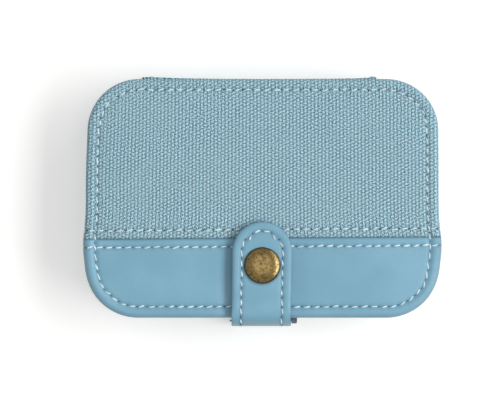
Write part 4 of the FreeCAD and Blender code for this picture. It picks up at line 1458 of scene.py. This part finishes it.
@dataclass
class HingeStrip:
    """The canvas strip at the back that both halves hang on, with a hem at each end."""

    wardrobe: Wardrobe
    hem_width: float = 3.6
    hem_rise: Pair = (0.8, 1.05)
    hem_edge: float = 0.9
    hem_step: float = 0.6
    hem_seam: float = 0.9
    seam_end: float = 1.0
    bow: float = 0.3
    set_back: float = 2.05
    thickness: float = 1.2
    step: float = 0.7
    fold_reach: float = 3.2
    offset: float = -1.4
    sag: Pair = (0.95, 0.45)
    sag_start: float = 0.5
    sag_length: float = 14.0

    def build(self) -> None:
        """Makes the strip and its hem stitches."""
        (_, _, low), (half_width, back, middle) = node_box("base_spine_leaf")
        top = node_box("lid_spine_leaf")[1][2]

        def place(flat: Spots) -> Placed:
            """Bows the strip outwards and thickens its hems."""
            from_end = half_width - np.abs(flat[:, 0])
            beyond_hem = from_end - self.hem_width
            left = flat[:, 0] < 0
            folded = rise(from_end, 0.0, self.hem_edge) * (1 - rise(beyond_hem, -self.hem_step, 0.0))
            hem = np.where(left, *self.hem_rise) * folded
            eased = np.where(left, *self.sag) * np.exp(-np.maximum(beyond_hem, 0) / self.sag_length)
            eased *= rise(beyond_hem, -self.sag_start, 0.0)
            bowed = self.bow * (1 - ((flat[:, 1] - middle) / (middle - low)) ** 2)
            y = back - self.set_back + bowed + np.maximum(hem, eased)
            return np.column_stack((flat[:, 0] + self.offset, y, flat[:, 1])), flat

        sheet = flat_grid("hinge_strip", (-half_width, low), (half_width, top), self.step)
        tailor(sheet, place, self.thickness, turned_over=True)
        self.wardrobe.dress(sheet, "canvas", "spine_canvas")
        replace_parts(sheet, "base_spine_leaf", "lid_spine_leaf")
        seam = half_width - self.hem_width - self.hem_seam
        first, last = low + self.seam_end, top - self.seam_end
        lines = [joined_lines((x, first), (x, last)) for x in (-seam, seam)]
        rows = [StitchRow(line, place, pitch=3.6) for line in lines]
        threads = self.wardrobe.sew("hinge", "spine_canvas", rows, outward=-1.0, length=2.5, width=0.6)
        for piece in (sheet, *threads):
            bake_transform(piece)


@dataclass
class NeedleLoops:
    """One band of elastic loops on the floor of the base."""

    side: Side
    wardrobe: Wardrobe
    count: int = 8
    pitch: float = 11.2
    radius: float = 4.2
    elastic: float = 0.8
    leg: float = 2.2
    stretch: float = 0.9
    tack_inset: float = 1.0
    step: float = 0.6

    def build(self) -> None:
        """Makes the band and its bar tacks."""
        node = f"needle_loops_{self.side.value}"
        low, high = node_box(node)
        outer = self.radius + self.elastic
        arch = math.pi * outer
        rung = 2 * self.leg + arch
        foot = self.pitch - 2 * outer
        lane_length = rung + foot

        def place(flat: Spots) -> Placed:
            """Arches the band over each needle's lane and down to the floor between them."""
            lane = np.floor(flat[:, 1] / lane_length)
            along = flat[:, 1] - lane * lane_length - foot / 2
            angle = np.clip((along - self.leg) / outer, 0, math.pi)
            climb = np.clip(along, 0, self.leg) - np.clip(along - self.leg - arch, 0, self.leg)
            y = -outer * np.cos(angle) + np.minimum(along, 0) + np.maximum(along - rung, 0)
            z = climb + outer * np.sin(angle) + self.elastic * (1 - rise(climb, 0.0, self.leg))
            centre = low[1] + (lane + 0.5) * self.pitch
            return np.column_stack((flat[:, 0], centre + y, low[2] + z)), flat

        name = f"elastic_loops_{self.side.value}"
        sheet = flat_grid(name, (low[0], 0.0), (high[0], self.count * lane_length), self.step)
        tailor(sheet, place, self.elastic * self.stretch)
        self.wardrobe.dress(sheet, "elastic")
        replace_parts(sheet, node)
        feet = [lane * lane_length for lane in range(1, self.count)]
        start, end = low[0] + self.tack_inset, high[0] - self.tack_inset
        lines = [joined_lines((start, at), (end, at)) for at in feet]
        rows = [StitchRow(line, place, pitch=2.3) for line in lines]
        sizes = {"length": 1.7, "width": 0.5, "lift": 0.1, "slant": 24.0}
        for piece in (sheet, *self.wardrobe.sew(name, "elastic", rows, **sizes)):
            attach(piece, "base")


@dataclass
class SlipPocket:
    """The mesh pocket on the lid's lining, with a bound mouth."""

    wardrobe: Wardrobe
    chord: float = 54.0
    centre: float = 29.0
    drop: float = 5.5
    fullness: float = 0.8
    closing: float = 5.0
    hang: float = 0.3
    tuck: float = 1.0
    seam: float = 1.2
    net: float = 0.5
    step: float = 0.8
    edging: float = 0.6
    edging_hang: float = 0.5
    edging_fold: float = 0.7
    edging_step: float = 0.6

    def arch(self, x: Spots) -> Spots:
        """Gives how far the pocket hangs below the lining."""
        share = np.clip(2 * (np.abs(np.abs(x) - self.centre)) / self.chord, 0, 1)
        return self.drop * (1 - share ** 2) ** self.fullness

    def build(self) -> None:
        """Makes the mesh, its binding and its seam stitches."""
        (left, mouth, _), (right, back, lining) = node_box("pocket_panel")
        bound = node_box("pocket_binding")[0][1]
        width = mouth - bound

        def drape(flat: Spots) -> Placed:
            """Hangs the mesh in two bags that close towards the hinge."""
            closed = rise(back - flat[:, 1], 0.0, self.closing)
            return np.column_stack((flat, lining - self.hang - self.arch(flat[:, 0]) * closed)), flat

        def bind(flat: Spots) -> Placed:
            """Folds the binding round the pocket's mouth."""
            turn = flat[:, 1] / width * math.pi - QUARTER_TURN
            y = bound + width / 2 + width / 2 * np.sin(turn)
            z = lining - self.edging_hang - self.arch(flat[:, 0]) - self.edging_fold * np.cos(turn)
            return np.column_stack((flat[:, 0], y, z)), flat

        sheet = flat_grid("pocket_net", (left, mouth - self.tuck), (right, back), self.step)
        tailor(sheet, drape, self.net, turned_over=True)
        self.wardrobe.dress(sheet, "pocket_mesh")
        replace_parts(sheet, "pocket_panel")
        binding = flat_grid("pocket_edging", (left, 0.0), (right, width), self.edging_step)
        tailor(binding, bind, self.edging, turned_over=True)
        self.wardrobe.dress(binding, "elastic")
        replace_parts(binding, "pocket_binding")
        first, last, end = left + self.seam, right - self.seam, back - self.seam
        seams = (
            ((first, mouth), (first, end)),
            ((last, mouth), (last, end)),
            ((first, end), (last, end)),
            ((0.0, mouth), (0.0, end)),
        )
        rows = [StitchRow(joined_lines(*seam), drape) for seam in seams]
        threads = self.wardrobe.sew("pocket", "pocket_mesh", rows, outward=-1.0, width=0.6)
        for piece in (sheet, binding, *threads):
            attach(piece, "lid")


@dataclass
class Fittings:
    """The hard parts: most keep the frame's own shapes, and the snap cap is modelled here."""

    wardrobe: Wardrobe
    cap_segments: int = 96
    cap_growth: float = 0.12
    cap_shift: float = 0.3
    rim_bevel: float = 0.45
    # Painted shade on the cap's rim, and where it starts and ends.
    rim_shade: float = 0.95
    rim_shade_run: Pair = (-0.65, -0.35)
    dome: float = 1.3
    dome_power: float = 3.0
    dome_rings: int = 16
    dome_end: float = 0.3

    def cap(self) -> None:
        """Models the snap's cap from a disc, with a bevelled rim and a top raised ring by ring to a dome."""
        low, high = node_box("snap_cap")
        radius = (high[0] - low[0]) / 2 + self.cap_growth
        middle_y = (high[1] + low[1]) / 2 + self.cap_shift
        seat = node_box("strap_flap_outer")[1][2]
        height = high[2] - seat - self.dome
        pick(None)
        bpy.ops.mesh.primitive_cylinder_add(
            vertices=self.cap_segments,
            radius=radius * MM,
            depth=height * MM,
            location=Vector((0.0, middle_y, seat + height / 2)) * MM,
        )
        cap = named(bpy.context.active_object, "snap_button")
        bpy.ops.object.transform_apply(location=True)
        self.open_top(cap)
        bpy.ops.mesh.bevel(offset=self.rim_bevel * MM, segments=5, profile=0.6, affect="EDGES")
        bpy.ops.object.mode_set(mode="OBJECT")
        self.open_top(cap)
        top_radius = radius - self.rim_bevel
        edges = np.linspace(top_radius, self.dome_end, self.dome_rings + 1)
        heights = self.dome * (1 - (edges / top_radius) ** self.dome_power)
        for step, lift in zip(-np.diff(edges), np.diff(heights)):
            bpy.ops.mesh.inset(thickness=step * MM, depth=lift * MM)
        bpy.ops.object.mode_set(mode="OBJECT")
        smooth(cap, angle=50.0)
        x, y, _ = read_points(cap).T
        from_rim = np.hypot(x, y - middle_y) - radius
        # Painted shade on the cap's rim.
        mark(cap, PAINTED_SHADE_AND_DYE_MARK, self.rim_shade * rise(from_rim, *self.rim_shade_run))
        self.wardrobe.dress(cap, "antique_brass")
        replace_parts(cap, "snap_cap")
        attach(cap, "strap_flap")

    @staticmethod
    def open_top(piece: Piece) -> None:
        """Opens a piece for editing with only its flat top selected."""
        pick(piece)
        bpy.ops.object.mode_set(mode="EDIT")
        bpy.ops.mesh.select_all(action="DESELECT")
        bpy.ops.object.mode_set(mode="OBJECT")
        highest = max(face.center.z for face in piece.data.polygons)
        for face in piece.data.polygons:
            face.select = face.normal.z > 0.99 and face.center.z > highest - 0.01 * MM
        bpy.ops.object.mode_set(mode="EDIT")

    def build(self) -> None:
        """Makes the cap and dresses the frame's own nodes."""
        self.cap()
        finishes = {f"snap_{piece}": "plain_brass" for piece in ("socket", "stud", "rivet_plate")}
        for half in Half:
            finishes[f"{half.value}_stiffener_board"] = "board"
            finishes[f"{half.value}_zip_teeth"] = "zip_teeth"
        for side in Side:
            finishes[f"zip_slider_{side.value}"] = "slider_metal"
            finishes[f"zip_pull_{side.value}"] = "slider_metal"
        for node, finish in finishes.items():
            self.wardrobe.dress(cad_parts[node], finish)


# The studio


@dataclass
class Studio:
    """Floor, lamps, surroundings and camera. A lamp has a name, a place, a size in metres and its watts."""

    camera_spot: Triple = (-5.2, 0.8, 754.0)
    lens: float = 122.8
    sensor: float = 36.0
    floor_size: float = 6.0
    floor_tone: tuple[float, ...] = (0.77, 0.77, 0.75, 1.0)
    floor_glow: float = 0.39
    near: float = 0.2
    far: float = 0.8
    surround: float = 0.35
    lamps: tuple[tuple[str, Triple, Pair, float], ...] = (
        ("key_lamp", (2.75, -0.3, 2.95), (3.0, 1.6), 100.0),
        ("glint_lamp", (2.0, 1.6, 2.25), (1.5, 1.0), 16.0),
        ("top_lamp", (0.0, 0.0, 2.5), (1.5, 1.5), 9.0),
    )

    @staticmethod
    def seen_directly(sheet: NodeSheet) -> Socket:
        """Gives 1 for rays from the camera, a mirror or glass."""
        path = sheet.add("LightPath")
        total = sheet.math("MAXIMUM", path["Is Camera Ray"], path["Is Glossy Ray"])
        return sheet.math("MAXIMUM", total, path["Is Transmission Ray"])

    def floor(self) -> None:
        """Lays the pale floor, which keeps the shadow and fades to white far from the case."""
        pick(None)
        bpy.ops.mesh.primitive_grid_add(x_subdivisions=2, y_subdivisions=2, size=self.floor_size)
        floor = named(bpy.context.active_object, "floor")
        material = bpy.data.materials.new("floor")
        material.use_nodes = True
        sheet = NodeSheet(material.node_tree)
        seen = self.seen_directly(sheet)
        matt = sheet.add("BsdfDiffuse", {"Color": self.floor_tone})[0]
        glow = sheet.add("Emission", {"Strength": sheet.math("MULTIPLY", seen, self.floor_glow)})[0]
        pale = sheet.add("AddShader", {0: matt, 1: glow})[0]
        away = sheet.add("VectorMath", {0: sheet.place()}, operation="LENGTH")["Value"]
        fading = {"Value": away, "From Min": self.near, "From Max": self.far}
        far = sheet.math("MULTIPLY", seen, sheet.add("MapRange", fading)["Result"])
        white = sheet.add("Emission", {"Strength": 1.0})[0]
        mixed = sheet.add("MixShader", {0: far, 1: pale, 2: white})[0]
        under = sheet.add("NewGeometry")["Backfacing"]
        clear = sheet.add("BsdfTransparent")[0]
        sided = sheet.add("MixShader", {0: under, 1: mixed, 2: clear})[0]
        sheet.add("OutputMaterial", {"Surface": sided})
        floor.data.materials.append(material)

    def world(self) -> None:
        """Sets even light from all round and a white backdrop."""
        world = bpy.data.worlds.new("studio")
        bpy.context.scene.world = world
        world.use_nodes = True
        sheet = NodeSheet(world.node_tree)
        white = (1.0, 1.0, 1.0, 1.0)
        soft = sheet.add("Background", {"Color": white, "Strength": self.surround})[0]
        backdrop = sheet.add("Background", {"Color": white, "Strength": 1.0})[0]
        mixed = sheet.add("MixShader", {0: self.seen_directly(sheet), 1: soft, 2: backdrop})[0]
        sheet.add("OutputWorld", {"Surface": mixed})

    def hang_lamps(self) -> None:
        """Hangs soft lamps that face the case."""
        for name, spot, size, power in self.lamps:
            light = bpy.data.lights.new(name, "AREA")
            light.shape = "RECTANGLE"
            light.size, light.size_y = size
            light.energy = power
            lamp = bpy.data.objects.new(name, light)
            lamp.location = spot
            lamp.rotation_euler = (-Vector(spot)).to_track_quat("-Z", "Y").to_euler()
            bpy.context.scene.collection.objects.link(lamp)

    def build(self) -> None:
        """Sets up the studio."""
        self.floor()
        self.world()
        self.hang_lamps()
        scene = bpy.context.scene
        scene.view_settings.view_transform = "Standard"
        camera = bpy.data.cameras.new("camera")
        camera.lens = self.lens
        camera.sensor_width = self.sensor
        viewer = bpy.data.objects.new("camera", camera)
        viewer.location = Vector(self.camera_spot) * MM
        scene.collection.objects.link(viewer)
        scene.camera = viewer


def main() -> None:
    """Builds the case's pieces in order, then the studio."""
    logging.basicConfig(level=logging.INFO)
    case = CaseForm.from_frame()
    wardrobe = Wardrobe()
    for half in Half:
        PaddedCover(case, half, wardrobe).build()
        Walls(case, half, wardrobe).build()
    HingeStrip(wardrobe).build()
    Strap(wardrobe).build()
    for side in Side:
        NeedleLoops(side, wardrobe).build()
    SlipPocket(wardrobe).build()
    Fittings(wardrobe).build()
    Studio().build()


if __name__ == "__main__":
    main()
